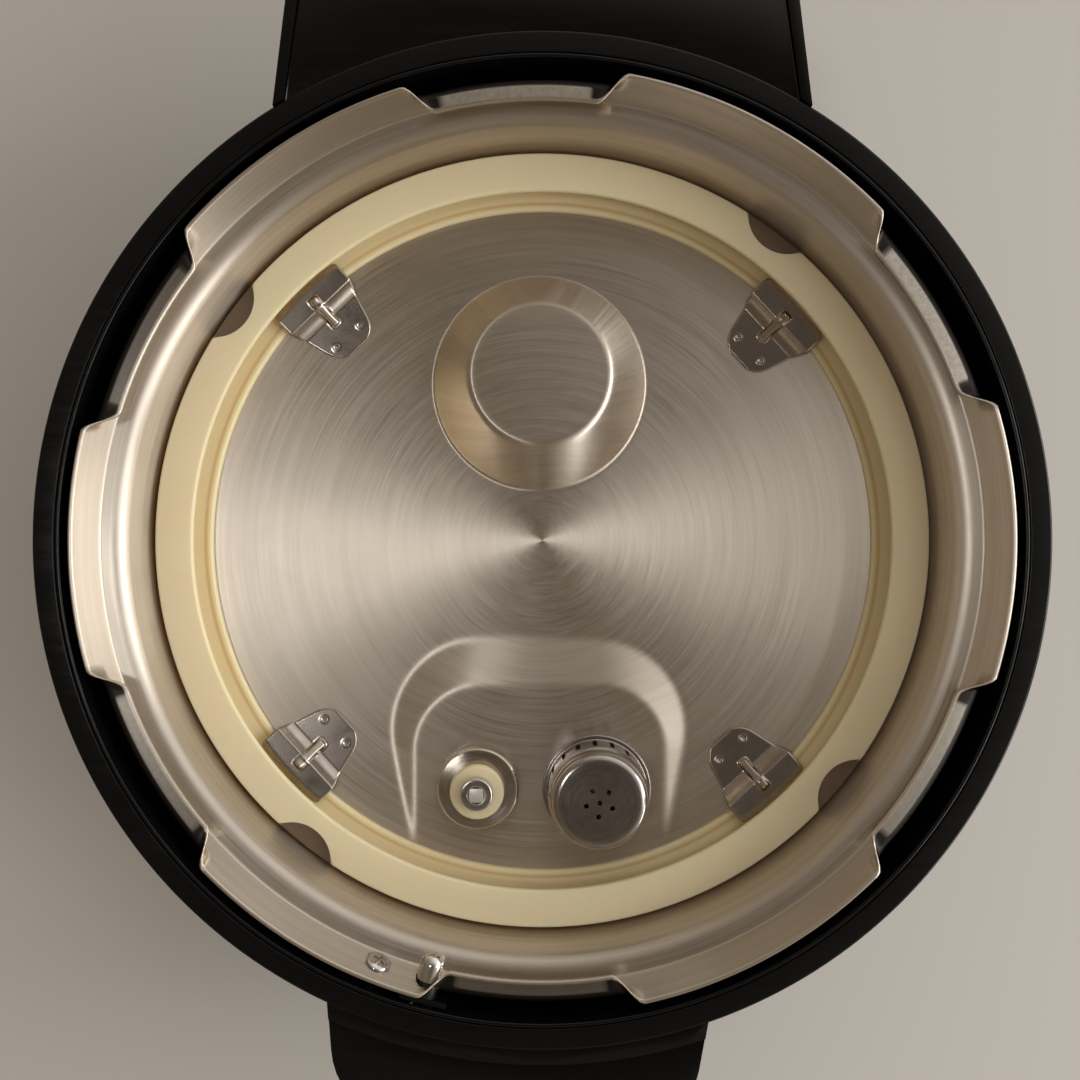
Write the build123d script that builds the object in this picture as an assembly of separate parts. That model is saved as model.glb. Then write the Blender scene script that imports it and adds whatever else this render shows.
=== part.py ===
from build123d import *
import math
import os

# Lid of an electric pressure cooker, lying upside down on its carry handle.
# Z is the lid's axis and points out of the pot side. The origin is on the surface that it lies on.
# The rear hood is at +Y and the front grip at -Y. Sizes are in millimetres, angles in degrees.

# Heights, from the resting surface up to the steel edge
bar_thickness = 12.0
finger_gap = 24.0
cover_wall = 3.0
mechanism_space = 17.5
sheet = 1.5
bowl_depth = 37.0

# Clearances
slip = 0.1
running_gap = 0.3
weld_gap = 0.1

# Outer cover
rim_width = 10.5
cover_shoulder = 46.0
rim_drop = 1.5
rim_flange = 1.0
rim_flange_width = 6.4
liner_wall = 1.2
liner_groove = 0.4
liner_height = 15.0
liner_proud = 0.4
liner_seat_width = 3.0
liner_seat_height = 1.5

# Pressure lid
skirt_foot_radius = 132.3
skirt_lean = 4.2
skirt_height = 10.5
shoulder_width = 8.4
wall_lean = 3.25
seat_width = 15.65
dome_sag = 5.0
seat_corner = 4.5
bead_bend = 4.0

# Bayonet teeth
tooth_angles = (30.3, 93.4, 152.7, 210.0, 268.5, 329.1)
tooth_flat = 21.0
tooth_ramp = 3.5
tooth_reach = 4.9
tooth_drop = 3.0
tooth_bend = 1.2

# Pressed forms of the roof
emboss_x = -0.8
emboss_inset = 52.8
emboss_top_radius = 22.2
emboss_height = 13.2
emboss_spread = 1.13
emboss_round = 3.0
deck_x = -1.0
deck_half_width = 40.0
deck_reach = 34.75
deck_corner = 20.0
deck_spread = 3.4

# Sealing ring
seal_gap = 0.75
seal_height = 12.0
seal_lip_width = 11.6
seal_lip = 2.2
seal_web = 4.6
seal_foot = 2.4
seal_heel = 8.5
seal_heel_slope = 1.0
seal_round = 0.8
scoop_angles = (53.0, 143.5, 232.0, 320.6)
scoop_radius = 12.2
scoop_depth = 6.0

# Seal clips
clip_angles = (42.6, 133.6, 222.6, 312.2)
clip_sheet = 0.7
clip_seat_inset = 12.0
clip_foot_length = 15.0
clip_step = 3.8
clip_leaf_length = 7.6
clip_inner_width = 15.0
clip_outer_width = 26.0
clip_rib_width = 2.6
clip_rib_length = 6.0
clip_rib_run = 4.0
clip_corner = 3.0
clip_dimple_radius = 0.8
clip_dimple_spread = 5.2

# Vent pipe, anti-block shield and steam valve
valve_inset = 23.55
vent_angle = 282.36
vent_bore = 1.8
vent_pipe_radius = 5.0
vent_flange_radius = 9.0
vent_flange = 4.0
vent_neck_radius = 6.4
vent_neck_height = 11.5
vent_tip_drop = 10.0
nut_height = 5.0
nut_overlap = 3.6
washer_thickness = 1.0
shield_wall_radius = 15.7
shield_flange_width = 1.7
shield_step_in = 0.8
shield_height = 19.2
shield_sheet = 0.8
shield_flange = 1.2
shield_step_height = 12.0
shield_cap_round = 2.6
shield_plate_drop = 3.0
shield_slots = 18
shield_slot_turn = 13.0
shield_slot_width = 1.4
shield_slot_height = 8.0
shield_slot_lift = 0.8
shield_hole_radius = 0.75
shield_hole_circle = 4.2
shield_hole_count = 5
shield_hole_turn = 49.0
weight_radius = 8.0
weight_cap = 6.0
weight_lift = 3.0
knob_radius = 14.0
knob_cap = 5.0
knob_round = 3.0
knob_fin_width = 7.0
knob_fin_reach = 20.0
knob_fin_drop = 7.0

# Float valve
float_angle = 255.45
float_stem_radius = 2.2
float_flange_radius = 13.05
float_flange = 3.2
float_bush_radius = 6.0
float_bush_gap = 1.1
float_seal_radius = 8.5
float_seal_height = 4.3
float_collar_radius = 5.1
float_collar_height = 3.6
float_socket_radius = 2.75
float_socket_depth = 1.6
float_square = 4.2
float_square_height = 0.4
float_head_radius = 4.6
float_head_height = 6.0
float_rise = 5.0

# Lock pin, slider and spring
lock_travel = 7.0
pin_radius = 3.5
pin_reach = 6.3
pin_drop = 6.4
pin_tail_radius = 2.0
slider_sheet = 1.6
slider_width = 14.0
slider_drop = 9.5
slider_knee_inset = 8.65
slider_rise_inset = 9.9
slider_leg_drop = 23.0
guide_length = 10.0
guide_wall = 4.0
guide_gap = 2.0
spring_length = 12.0
spring_radius = 3.4
spring_wire = 0.7
spring_turns = 5
spring_drop = 16.0
spring_post_wall = 1.6
skirt_screw_angle = 248.7
skirt_screw_drop = 6.4
skirt_screw_head = 3.4
skirt_screw_rise = 1.3

# Rear hood and front grip
ear_overhang = 24.0
ear_root = 44.0
ear_round = 5.0
ear_wall = 3.2
hood_half_width = 77.6
hood_taper = 5.6
hood_corner = 14.0
hood_depth = 27.0
hood_tip = 12.0
hood_border = 0.5
panel = 3.0
grip_angle = 267.0
grip_half_width = 55.0
grip_taper = 4.5
grip_corner = 24.0
grip_depth = 36.0
grip_tip = 16.0
grip_drop = 1.0
ledge_reach = 4.1
ledge_height = 5.5

# Carry handle
handle_width = 34.0
handle_end_gap = 3.5
handle_lean = 10.0
handle_leg = 20.0
handle_edge_round = 4.0
handle_corner = 8.0

# Fasteners
screw_radius = 1.5
screw_head_radius = 3.2
screw_head = 2.2
head_gap = 0.6
handle_screw_x = 9.0
handle_screw_depth = 11.0
stud_radius = 4.0
stud_inset = 5.0
stud_angles = (20.0, 90.0, 160.0, 330.0)
stud_boss_radius = 5.6
stud_boss_height = 7.0
ear_screw_depth = 9.0
grip_screw_spread = 16.0
hood_screw_spread = 22.0

# Heights worked out from the sizes above
z_cover = bar_thickness + finger_gap
z_cover_inside = z_cover + cover_wall
z_seat_back = z_cover_inside + mechanism_space
z_seat = z_seat_back + sheet
z_edge = z_seat + bowl_depth
z_shoulder = z_edge - skirt_height
z_rim = z_edge - rim_drop
z_flange = z_rim - rim_flange
z_pin = z_edge - pin_drop
z_slider = z_seat_back - slider_drop
z_ear_screw = z_rim - ledge_height - slip - running_gap - screw_head_radius

# Radii and places worked out from the sizes above
skirt_edge_radius = skirt_foot_radius + skirt_lean
skirt_inside_radius = skirt_foot_radius - sheet
wall_top_radius = skirt_foot_radius - shoulder_width
wall_foot_radius = wall_top_radius - wall_lean
seat_inner_radius = wall_foot_radius - seat_width
seal_outer_radius = wall_foot_radius - seal_gap
clip_seat_radius = seat_inner_radius - clip_seat_inset
stud_circle = seat_inner_radius + stud_inset
valve_circle = seat_inner_radius - valve_inset
vent_x = valve_circle * math.cos(math.radians(vent_angle))
vent_y = valve_circle * math.sin(math.radians(vent_angle))
float_x = valve_circle * math.cos(math.radians(float_angle))
float_y = valve_circle * math.sin(math.radians(float_angle))
deck_top_y = deck_reach - valve_circle
emboss_y = seat_inner_radius - emboss_inset
shield_flange_radius = shield_wall_radius + shield_flange_width
shield_cap_radius = shield_wall_radius - shield_step_in
cover_radius = skirt_edge_radius + rim_width
cover_inside_radius = cover_radius - cover_wall
flange_inner_radius = cover_radius - rim_flange_width
liner_outer_radius = flange_inner_radius - liner_groove
ear_reach = cover_radius + ear_overhang
handle_length = 2 * (-vent_y - knob_radius - handle_end_gap)
skirt_flare = skirt_lean / skirt_height
skirt_tilt = math.degrees(math.atan(skirt_flare))


def lathe(*points):
    """Solid of revolution about Z through (radius, height) points."""
    return revolve(Plane.XZ * make_face(Polyline(*points, close=True)), Axis.Z)


def tube(outer, inner, low, high):
    """Ring between two radii and two heights."""
    return lathe((inner, low), (outer, low), (outer, high), (inner, high))


def disc(radius, low, high):
    """Upright cylinder between two heights."""
    return Pos(0, 0, (low + high) / 2) * Cylinder(radius, high - low)


def slab(length, width, low, high):
    """Upright block centred on Z."""
    return Pos(0, 0, (low + high) / 2) * Box(length, width, high - low)


def hexagon_nut(overlap, bore, low, high):
    """Hexagon nut round a bore, as wide across flats as the bore and twice the overlap."""
    flats = RegularPolygon(bore + overlap, 6, major_radius=False)
    return Pos(0, 0, low) * extrude(flats - Circle(bore), high - low)


def outward(angle, height):
    """Frame on the lid's axis at a height, with its Z pointing outward along an angle."""
    return Pos(0, 0, height) * Rot(0, 0, angle) * Rot(0, 90, 0)


def dome_height(radius):
    """Height of the roof's inner face at a radius."""
    return z_seat - dome_sag * (1 - (radius / seat_inner_radius) ** 2)


def plan_ear(half_width, taper, reach, corner):
    """Plan outline of an ear along +Y, narrowing by taper on each side and rounded at its far corners."""
    start = cover_radius - ear_root
    bend = math.sqrt(cover_radius**2 - half_width**2)
    points = [
        (-half_width, start),
        (-half_width, bend),
        (-half_width + taper, reach),
        (half_width - taper, reach),
        (half_width, bend),
        (half_width, start),
    ]
    face = make_face(Polyline(*points, close=True))
    far = face.vertices().group_by(Axis.Y)[-1]
    return fillet(far, min(corner, 0.8 * (reach - bend)))


def ear_side(depth, tip, reach, top):
    """Side form of an ear: deep at the cover and rising to a thin outer edge."""
    near = cover_radius - ear_root
    lower = FilletPolyline(
        (near, top - depth),
        (cover_radius, top - depth),
        (reach, top - tip),
        (reach, top),
        radius=ear_round,
    )
    upper = Polyline((reach, top), (near, top), (near, top - depth))
    side = make_face(lower.edges() + upper.edges())
    return extrude(Plane.YZ * side, cover_radius, both=True)


def turned(angle):
    """Rotation that takes +Y to an angle round the axis."""
    return Rot(0, 0, angle - 90)


def ear_screw_places():
    """Frames of the screws that hold the hood and the grip to the cover's wall."""
    hood = [outward(90 + side * hood_screw_spread, z_ear_screw) for side in (-1, 1)]
    grip = [outward(grip_angle + side * grip_screw_spread, z_ear_screw) for side in (-1, 1)]
    return hood, grip


def handle_screw_places():
    """Places of the screws in the handle's feet."""
    reach = (handle_length - handle_leg) / 2
    return [Pos(x, y, 0) for x in (-handle_screw_x, handle_screw_x) for y in (-reach, reach)]


def stud_places():
    """Places of the studs on the back of the seal's seat."""
    return [Rot(0, 0, angle) * Pos(stud_circle, 0, 0) for angle in stud_angles]


def make_outer_cover():
    """Moulded cover with its rim flange, the front ledge, the rear panel and the stud bosses."""
    outside = FilletPolyline(
        (0, z_cover),
        (cover_radius, z_cover),
        (cover_radius, z_rim),
        radius=cover_shoulder,
    )
    inside = FilletPolyline(
        (cover_inside_radius, z_flange),
        (cover_inside_radius, z_cover_inside),
        (0, z_cover_inside),
        radius=cover_shoulder - cover_wall,
    )
    rim = Polyline(
        (cover_radius, z_rim),
        (flange_inner_radius, z_rim),
        (flange_inner_radius, z_flange),
        (cover_inside_radius, z_flange),
    )
    axis_line = Line((0, z_cover_inside), (0, z_cover))
    profile = make_face(outside.edges() + rim.edges() + inside.edges() + [axis_line.edge()])
    cover = revolve(Plane.XZ * profile, Axis.Z)
    closing = Polyline((cover_radius, z_rim), (0, z_rim), (0, z_cover))
    filled = revolve(Plane.XZ * make_face(outside.edges() + closing.edges()), Axis.Z)
    plan = plan_ear(
        hood_half_width - ear_wall - running_gap,
        hood_taper,
        ear_reach - ear_wall - running_gap,
        hood_corner - ear_wall,
    )
    rear_panel = Pos(0, 0, z_rim - panel) * extrude(plan, panel)
    ledge_plan = turned(grip_angle) * plan_ear(grip_half_width, grip_taper, ear_reach, grip_corner)
    ledge = Pos(0, 0, z_rim - ledge_height) * extrude(ledge_plan, ledge_height)
    ledge = ledge & disc(cover_radius + ledge_reach, z_cover, z_rim)
    hollow = disc(cover_radius - cover_wall / 2, z_cover, z_edge)
    cover = cover + (rear_panel - hollow) + (ledge - hollow)
    boss_top = z_cover_inside + stud_boss_height
    for place in stud_places():
        cover += place * disc(stud_boss_radius, z_cover, boss_top) & filled
        cover -= place * disc(screw_head_radius + running_gap, z_cover - 1, z_cover_inside + screw_head)
        cover -= place * disc(screw_radius + slip, z_cover, boss_top + 1)
    for place in handle_screw_places():
        cover -= place * disc(screw_radius + slip, z_cover - 1, z_cover_inside + 1)
    hood, grip = ear_screw_places()
    for place in hood + grip:
        cover -= place * disc(screw_radius + slip, cover_inside_radius - 1, cover_radius + 1)
    cover -= Pos(vent_x, vent_y, 0) * disc(vent_pipe_radius + running_gap, z_cover - 1, z_cover_inside + 1)
    cover -= Pos(float_x, float_y, 0) * disc(float_head_radius + running_gap, z_cover - 1, z_cover_inside + 1)
    return cover - slider_window(cover_radius + ledge_reach / 2)


def slider_window(far):
    """Opening in the cover's wall and the liner for the slider's leg."""
    low = z_edge - slider_leg_drop - 2 * slider_sheet - lock_travel
    high = z_flange - slip
    near = skirt_edge_radius
    block = slab(far - near, slider_width + 4 * running_gap, low, high)
    return Rot(0, 0, float_angle) * Pos((far + near) / 2, 0, 0) * block


def make_rim_liner():
    """Black ring between the skirt and the cover's rim, seated under the rim flange."""
    inner = liner_outer_radius - liner_wall
    top = z_rim + liner_proud
    low = top - liner_height
    ring = tube(liner_outer_radius, inner, low, top)
    seat = tube(liner_outer_radius + liner_seat_width, inner, z_flange - liner_seat_height, z_flange)
    boss = disc(screw_head_radius, sheet + running_gap, cover_radius - skirt_foot_radius)
    boss = skirt_screw_place() * boss & disc(liner_outer_radius, low, top)
    liner = ring + seat + boss
    liner -= skirt_screw_place() * disc(screw_radius + slip, 0, cover_radius - skirt_foot_radius)
    return liner - slider_window(cover_radius)


def skirt_screw_place():
    """Frame on the skirt's inner face at the screw, with its Z pointing out through the sheet."""
    height = z_edge - skirt_screw_drop
    radius = skirt_inside_radius + skirt_flare * (height - z_shoulder)
    return Rot(0, 0, skirt_screw_angle) * Pos(radius, 0, height) * Rot(0, 90 + skirt_tilt, 0)


def skirt_profile(rise):
    """Section of the plain skirt, with its sides divided where the tooth's section bends."""
    levels = (0.0, 0.56, 0.75, 1.0)
    inner = [(skirt_inside_radius + skirt_lean * k, z_shoulder + rise * k) for k in levels]
    outer = [(radius + sheet, height) for radius, height in reversed(inner)]
    return make_face(Polyline(*inner, *outer, close=True))


def tooth_profile():
    """Section of a tooth: the leaning skirt bent inward to a flat tab."""
    top = z_edge - tooth_drop
    under = top - sheet
    tip = skirt_foot_radius - tooth_reach
    inner = FilletPolyline(
        (skirt_inside_radius, z_shoulder),
        (skirt_inside_radius + skirt_flare * (under - z_shoulder), under),
        (tip, under),
        radius=tooth_bend,
    )
    outer = FilletPolyline(
        (tip, top),
        (skirt_foot_radius + skirt_flare * (top - z_shoulder), top),
        (skirt_foot_radius, z_shoulder),
        radius=tooth_bend + sheet,
    )
    ends = [
        Line((tip, under), (tip, top)).edge(),
        Line((skirt_foot_radius, z_shoulder), (skirt_inside_radius, z_shoulder)).edge(),
    ]
    return make_face(inner.edges() + outer.edges() + ends)


def make_skirt():
    """Skirt of the pressure lid, with its six inward teeth and the ramps beside them."""
    lug = Plane.XZ * skirt_profile(skirt_height)
    tooth = Plane.XZ * tooth_profile()
    half = tooth_flat / 2
    pieces = []
    for index, centre in enumerate(tooth_angles):
        following = tooth_angles[(index + 1) % len(tooth_angles)]
        lug_start = centre + half + tooth_ramp
        lug_sweep = (following - half - tooth_ramp - lug_start) % 360
        pieces.append(Rot(0, 0, lug_start) * revolve(lug, Axis.Z, lug_sweep))
        pieces.append(Rot(0, 0, centre - half) * revolve(tooth, Axis.Z, tooth_flat))
        for side in (-1, 1):
            near = (Rot(0, 0, centre + side * half) * tooth).face()
            far = (Rot(0, 0, centre + side * (half + tooth_ramp)) * lug).face()
            pieces.append(loft([near, far], ruled=True))
    return pieces


def roof_block():
    """Everything under the roof's inner face: the dome, the round emboss and the valve deck."""
    base = z_seat - dome_sag - 4 * sheet
    arc = ThreePointArc(
        (0, z_seat - dome_sag),
        (seat_inner_radius / 2, dome_height(seat_inner_radius / 2)),
        (seat_inner_radius, z_seat),
    )
    border = Polyline(
        (seat_inner_radius, z_seat),
        (seat_inner_radius, base),
        (0, base),
        (0, z_seat - dome_sag),
    )
    dome = revolve(Plane.XZ * make_face(arc.edges() + border.edges()), Axis.Z)
    top = z_seat - dome_sag + emboss_height
    rise = top - base
    foot = emboss_top_radius + emboss_spread * rise
    flank = FilletPolyline((foot, base), (emboss_top_radius, top), (0, top), radius=emboss_round)
    closing = Polyline((0, top), (0, base), (foot, base))
    emboss = revolve(Plane.XZ * make_face(flank.edges() + closing.edges()), Axis.Z)
    emboss = Pos(emboss_x, emboss_y, 0) * emboss
    return dome + emboss + valve_deck(base)


def valve_deck(base):
    """Arched flat for the two valves, level with the seal's seat, with sloping sides."""
    grow = deck_spread * (z_seat - base)
    sections = []
    for height, spread in ((z_seat, 0.0), (base, grow)):
        half = deck_half_width + spread
        low = -seat_inner_radius - grow
        top = deck_top_y + spread
        outline = make_face(Polyline((-half, low), (half, low), (half, top), (-half, top), close=True))
        arch = fillet(outline.vertices().group_by(Axis.Y)[-1], deck_corner + spread / 2)
        sections.append((Pos(deck_x, 0, height) * arch).face())
    return loft(sections, ruled=True) & disc(seat_inner_radius, base, z_seat)


def make_pressure_lid():
    """Pressed steel lid: domed roof, seat of the sealing ring, wall, shoulder and toothed skirt."""
    centre_line = sheet / 2
    path = FilletPolyline(
        (seat_inner_radius, z_seat - centre_line),
        (wall_foot_radius + centre_line, z_seat - centre_line),
        (wall_top_radius + centre_line, z_shoulder - centre_line),
        (skirt_foot_radius, z_shoulder - centre_line),
        radius=[seat_corner, bead_bend],
    )
    rim = revolve(Plane.XZ * trace(path, sheet), Axis.Z)
    block = roof_block()
    roof = block - Pos(0, 0, -sheet) * block
    lid = rim.fuse(roof, *make_skirt())
    lid = lid - Pos(vent_x, vent_y, 0) * disc(vent_pipe_radius + slip, z_seat_back - 1, z_seat + 1)
    lid = lid - Pos(float_x, float_y, 0) * disc(float_bush_radius + slip, z_seat_back - 1, z_seat + 1)
    near = skirt_inside_radius - pin_reach - sheet
    far = skirt_edge_radius + sheet
    lid = lid - outward(float_angle, z_pin) * disc(pin_radius + running_gap, near, far)
    lid = lid - skirt_screw_place() * disc(screw_radius + slip, -sheet, 2 * sheet)
    return lid.solid()


def make_sealing_ring():
    """Silicone ring of C section, open inwards, with finger scoops in its upper lip."""
    outer = seal_outer_radius
    tip = outer - seal_lip_width
    top = z_seat + seal_height
    foot_top = z_seat + seal_foot
    web = outer - seal_web
    corner = seat_corner
    heel = z_seat + seal_heel
    heel_radius = outer + wall_lean * seal_heel / (z_shoulder - z_seat)
    section = make_face(
        Polyline(
            (seat_inner_radius, z_seat),
            (outer - corner, z_seat),
            (outer, z_seat + corner),
            (heel_radius, heel),
            (outer, heel + seal_heel_slope),
            (outer, top),
            (tip, top),
            (tip, top - seal_lip),
            (web, top - seal_lip),
            (web, foot_top),
            (seat_inner_radius, foot_top),
            close=True,
        )
    )
    ring = revolve(Plane.XZ * fillet(section.vertices(), seal_round), Axis.Z)
    for angle in scoop_angles:
        centre = outer - scoop_depth + scoop_radius
        low = top - seal_lip - seal_round
        ring -= Rot(0, 0, angle) * Pos(centre, 0, 0) * disc(scoop_radius, low, top + 1)
    return ring.solid()


def make_seal_clip():
    """Spring clip: a foot on the roof, a bent step and a leaf that holds the seal's lower flange."""
    half = clip_sheet / 2
    foot_in = -clip_foot_length / 2
    foot_out = clip_foot_length / 2
    path = Polyline(
        (foot_in, half),
        (foot_out, half),
        (foot_out + clip_step * 0.4, half + clip_step),
        (foot_out + clip_step * 0.4 + clip_leaf_length, half + clip_step + 0.4),
    )
    strip = extrude(Plane.XZ * trace(path, clip_sheet), clip_outer_width, both=True)
    end = foot_out + clip_leaf_length + clip_step
    plan = make_face(
        Polyline(
            (foot_in - 1, -clip_inner_width / 2),
            (foot_in + 2, -clip_inner_width / 2),
            (foot_out - 1, -clip_outer_width / 2),
            (end, -clip_outer_width / 2 + 1),
            (end, clip_outer_width / 2 - 1),
            (foot_out - 1, clip_outer_width / 2),
            (foot_in + 2, clip_inner_width / 2),
            (foot_in - 1, clip_inner_width / 2),
            close=True,
        )
    )
    plan = fillet(plan.vertices().group_by(Axis.X)[0], clip_corner)
    strip = strip & extrude(plan, 2 * clip_step + clip_sheet)
    for side in (-1, 1):
        strip -= Pos(0, side * clip_dimple_spread, 0) * disc(clip_dimple_radius, half, clip_step)
    rib_path = Polyline(
        (foot_out - clip_rib_length, half),
        (foot_out, half + clip_sheet),
        (foot_out + clip_step * 0.4, half + clip_sheet + clip_step),
        (foot_out + clip_step * 0.4 + clip_rib_run, half + clip_step + 0.2),
    )
    rib = extrude(Plane.XZ * trace(rib_path, clip_sheet), clip_rib_width / 2, both=True)
    slope = math.degrees(math.atan(2 * dome_sag * clip_seat_radius / seat_inner_radius**2))
    seat = Pos(clip_seat_radius, 0, dome_height(clip_seat_radius) + weld_gap) * Rot(0, -slope, 0)
    return seat * (strip + rib)


def make_vent():
    """Vent pipe with its washer and nut."""
    place = Pos(vent_x, vent_y, 0)
    tip = z_cover - vent_tip_drop
    pipe = lathe(
        (vent_bore, tip),
        (vent_pipe_radius - 1, tip),
        (vent_pipe_radius, tip + 1),
        (vent_pipe_radius, z_seat),
        (vent_flange_radius, z_seat),
        (vent_flange_radius, z_seat + vent_flange),
        (vent_neck_radius, z_seat + vent_flange),
        (vent_neck_radius, z_seat + vent_neck_height - 1),
        (vent_neck_radius - 1, z_seat + vent_neck_height),
        (vent_bore, z_seat + vent_neck_height),
    )
    washer_low = z_seat_back - washer_thickness
    washer = tube(vent_pipe_radius + nut_overlap, vent_pipe_radius + slip, washer_low, z_seat_back)
    nut = hexagon_nut(nut_overlap, vent_pipe_radius + slip, washer_low - nut_height, washer_low)
    return place * pipe, place * washer, place * nut


def make_shield():
    """Anti-block shield: a slotted cap with a holed top, and the spring plate that grips the vent's neck."""
    low = z_seat
    top = z_seat + shield_height
    inner_wall = shield_wall_radius - shield_sheet
    inner_cap = shield_cap_radius - shield_sheet
    step = z_seat + shield_step_height
    cap_edge = shield_cap_radius - shield_cap_round
    lines = [
        Polyline((0, top), (cap_edge, top)),
        RadiusArc((cap_edge, top), (shield_cap_radius, top - shield_cap_round), shield_cap_round),
        Polyline(
            (shield_cap_radius, top - shield_cap_round),
            (shield_cap_radius, step + shield_sheet),
            (shield_wall_radius, step),
            (shield_wall_radius, low + shield_flange),
            (shield_flange_radius, low + shield_flange),
            (shield_flange_radius, low),
            (inner_wall, low),
            (inner_wall, step - shield_sheet),
            (inner_cap, step),
            (inner_cap, top - shield_cap_round),
        ),
        RadiusArc(
            (inner_cap, top - shield_cap_round),
            (cap_edge, top - shield_sheet),
            shield_sheet - shield_cap_round,
        ),
        Polyline((cap_edge, top - shield_sheet), (0, top - shield_sheet), (0, top)),
    ]
    profile = make_face([edge for line in lines for edge in line.edges()])
    shield = revolve(Plane.XZ * profile, Axis.Z)
    slot_low = low + shield_flange + shield_slot_lift
    slot = Pos(shield_wall_radius, 0, 0) * slab(
        4 * shield_sheet, shield_slot_width, slot_low, slot_low + shield_slot_height
    )
    for index in range(shield_slots):
        shield -= Rot(0, 0, shield_slot_turn + 360 / shield_slots * index) * slot
    hole = disc(shield_hole_radius, top - 2 * shield_sheet, top + 1)
    shield -= hole
    for index in range(shield_hole_count):
        angle = shield_hole_turn + 360 / shield_hole_count * index
        shield -= Rot(0, 0, angle) * Pos(shield_hole_circle, 0, 0) * hole
    plate_low = z_seat + vent_neck_height - shield_plate_drop
    plate = tube(inner_wall - slip / 2, vent_neck_radius + running_gap, plate_low, plate_low + shield_sheet)
    place = Pos(vent_x, vent_y, 0)
    return place * shield, place * plate


def make_steam_valve():
    """Weight that hangs on the vent's tip, and the knob round it, at the low end of their lift."""
    place = Pos(vent_x, vent_y, 0)
    tip = z_cover - vent_tip_drop - weight_lift
    mouth = z_cover - weight_lift - 2
    bore = vent_pipe_radius + running_gap
    weight = lathe(
        (0, tip + vent_bore - running_gap),
        (vent_bore, tip - running_gap),
        (bore, tip - running_gap),
        (bore, mouth),
        (weight_radius, mouth),
        (weight_radius, tip - weight_cap),
        (0, tip - weight_cap),
    )
    knob_low = tip - weight_cap - running_gap - knob_cap
    knob = disc(knob_radius, knob_low, mouth)
    knob = fillet(knob.edges().group_by(Axis.Z)[0], knob_round)
    knob -= disc(weight_radius + running_gap, tip - weight_cap - running_gap, mouth + 1)
    fin = slab(knob_fin_width, knob_fin_reach, knob_low, knob_low + knob_fin_drop)
    fin = Pos(0, -knob_fin_reach / 2, 0) * fin
    fin = fillet(fin.edges().filter_by(Axis.Z), knob_fin_width / 3)
    fin -= disc(weight_radius + running_gap, tip - weight_cap - running_gap, mouth + 1)
    knob = knob + fin
    return place * weight, place * knob


def make_float_valve():
    """Float valve: flanged bush with washer and nut, and the pin with its head, seal and collar."""
    place = Pos(float_x, float_y, 0)
    bore = float_stem_radius + running_gap
    flange_low = z_seat + washer_thickness
    flange_top = flange_low + float_flange
    bush_low = z_slider + slider_sheet / 2 + float_bush_gap
    bush = lathe(
        (bore, bush_low),
        (float_bush_radius, bush_low),
        (float_bush_radius, flange_low),
        (float_flange_radius, flange_low),
        (float_flange_radius, flange_top - 1),
        (float_flange_radius - 1, flange_top),
        (bore, flange_top),
    )
    washer = tube(float_flange_radius - 1, float_bush_radius + slip, z_seat, flange_low)
    nut = hexagon_nut(nut_overlap, float_bush_radius + slip, z_seat_back - nut_height, z_seat_back)
    seal_low = flange_top + running_gap
    seal_top = seal_low + float_seal_height
    seal = lathe(
        (float_stem_radius + slip, seal_low),
        (float_seal_radius - 1.5, seal_low),
        (float_seal_radius, seal_low + 1.5),
        (float_seal_radius, seal_top - 0.8),
        (float_seal_radius - 0.8, seal_top),
        (float_stem_radius + slip, seal_top),
    )
    collar_top = seal_top + float_collar_height
    collar = lathe(
        (float_stem_radius + slip, seal_top),
        (float_collar_radius, seal_top),
        (float_collar_radius, collar_top - 0.5),
        (float_collar_radius - 0.5, collar_top),
        (float_stem_radius + slip, collar_top),
    )
    socket_low = collar_top - float_socket_depth
    collar -= disc(float_socket_radius, socket_low, collar_top + 1)
    head_low = z_cover - float_head_height
    head_top = head_low + float_head_height
    pin = lathe(
        (0, head_low),
        (float_head_radius - 1, head_low),
        (float_head_radius, head_low + 1),
        (float_head_radius, head_top),
        (float_stem_radius, head_top + 1),
        (float_stem_radius, socket_low),
        (0, socket_low),
    )
    square_top = collar_top + float_square_height
    square = slab(float_square, float_square, socket_low, square_top)
    square = chamfer(square.edges().group_by(Axis.Z)[-1], float_square_height)
    pin += square & disc(float_socket_radius - slip, socket_low, square_top)
    return [place * piece for piece in (bush, washer, nut, pin, seal, collar)]


def slider_leg_radius():
    """Radius of the middle of the slider's upright leg."""
    return skirt_edge_radius + 2 * running_gap + slider_sheet / 2


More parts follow.
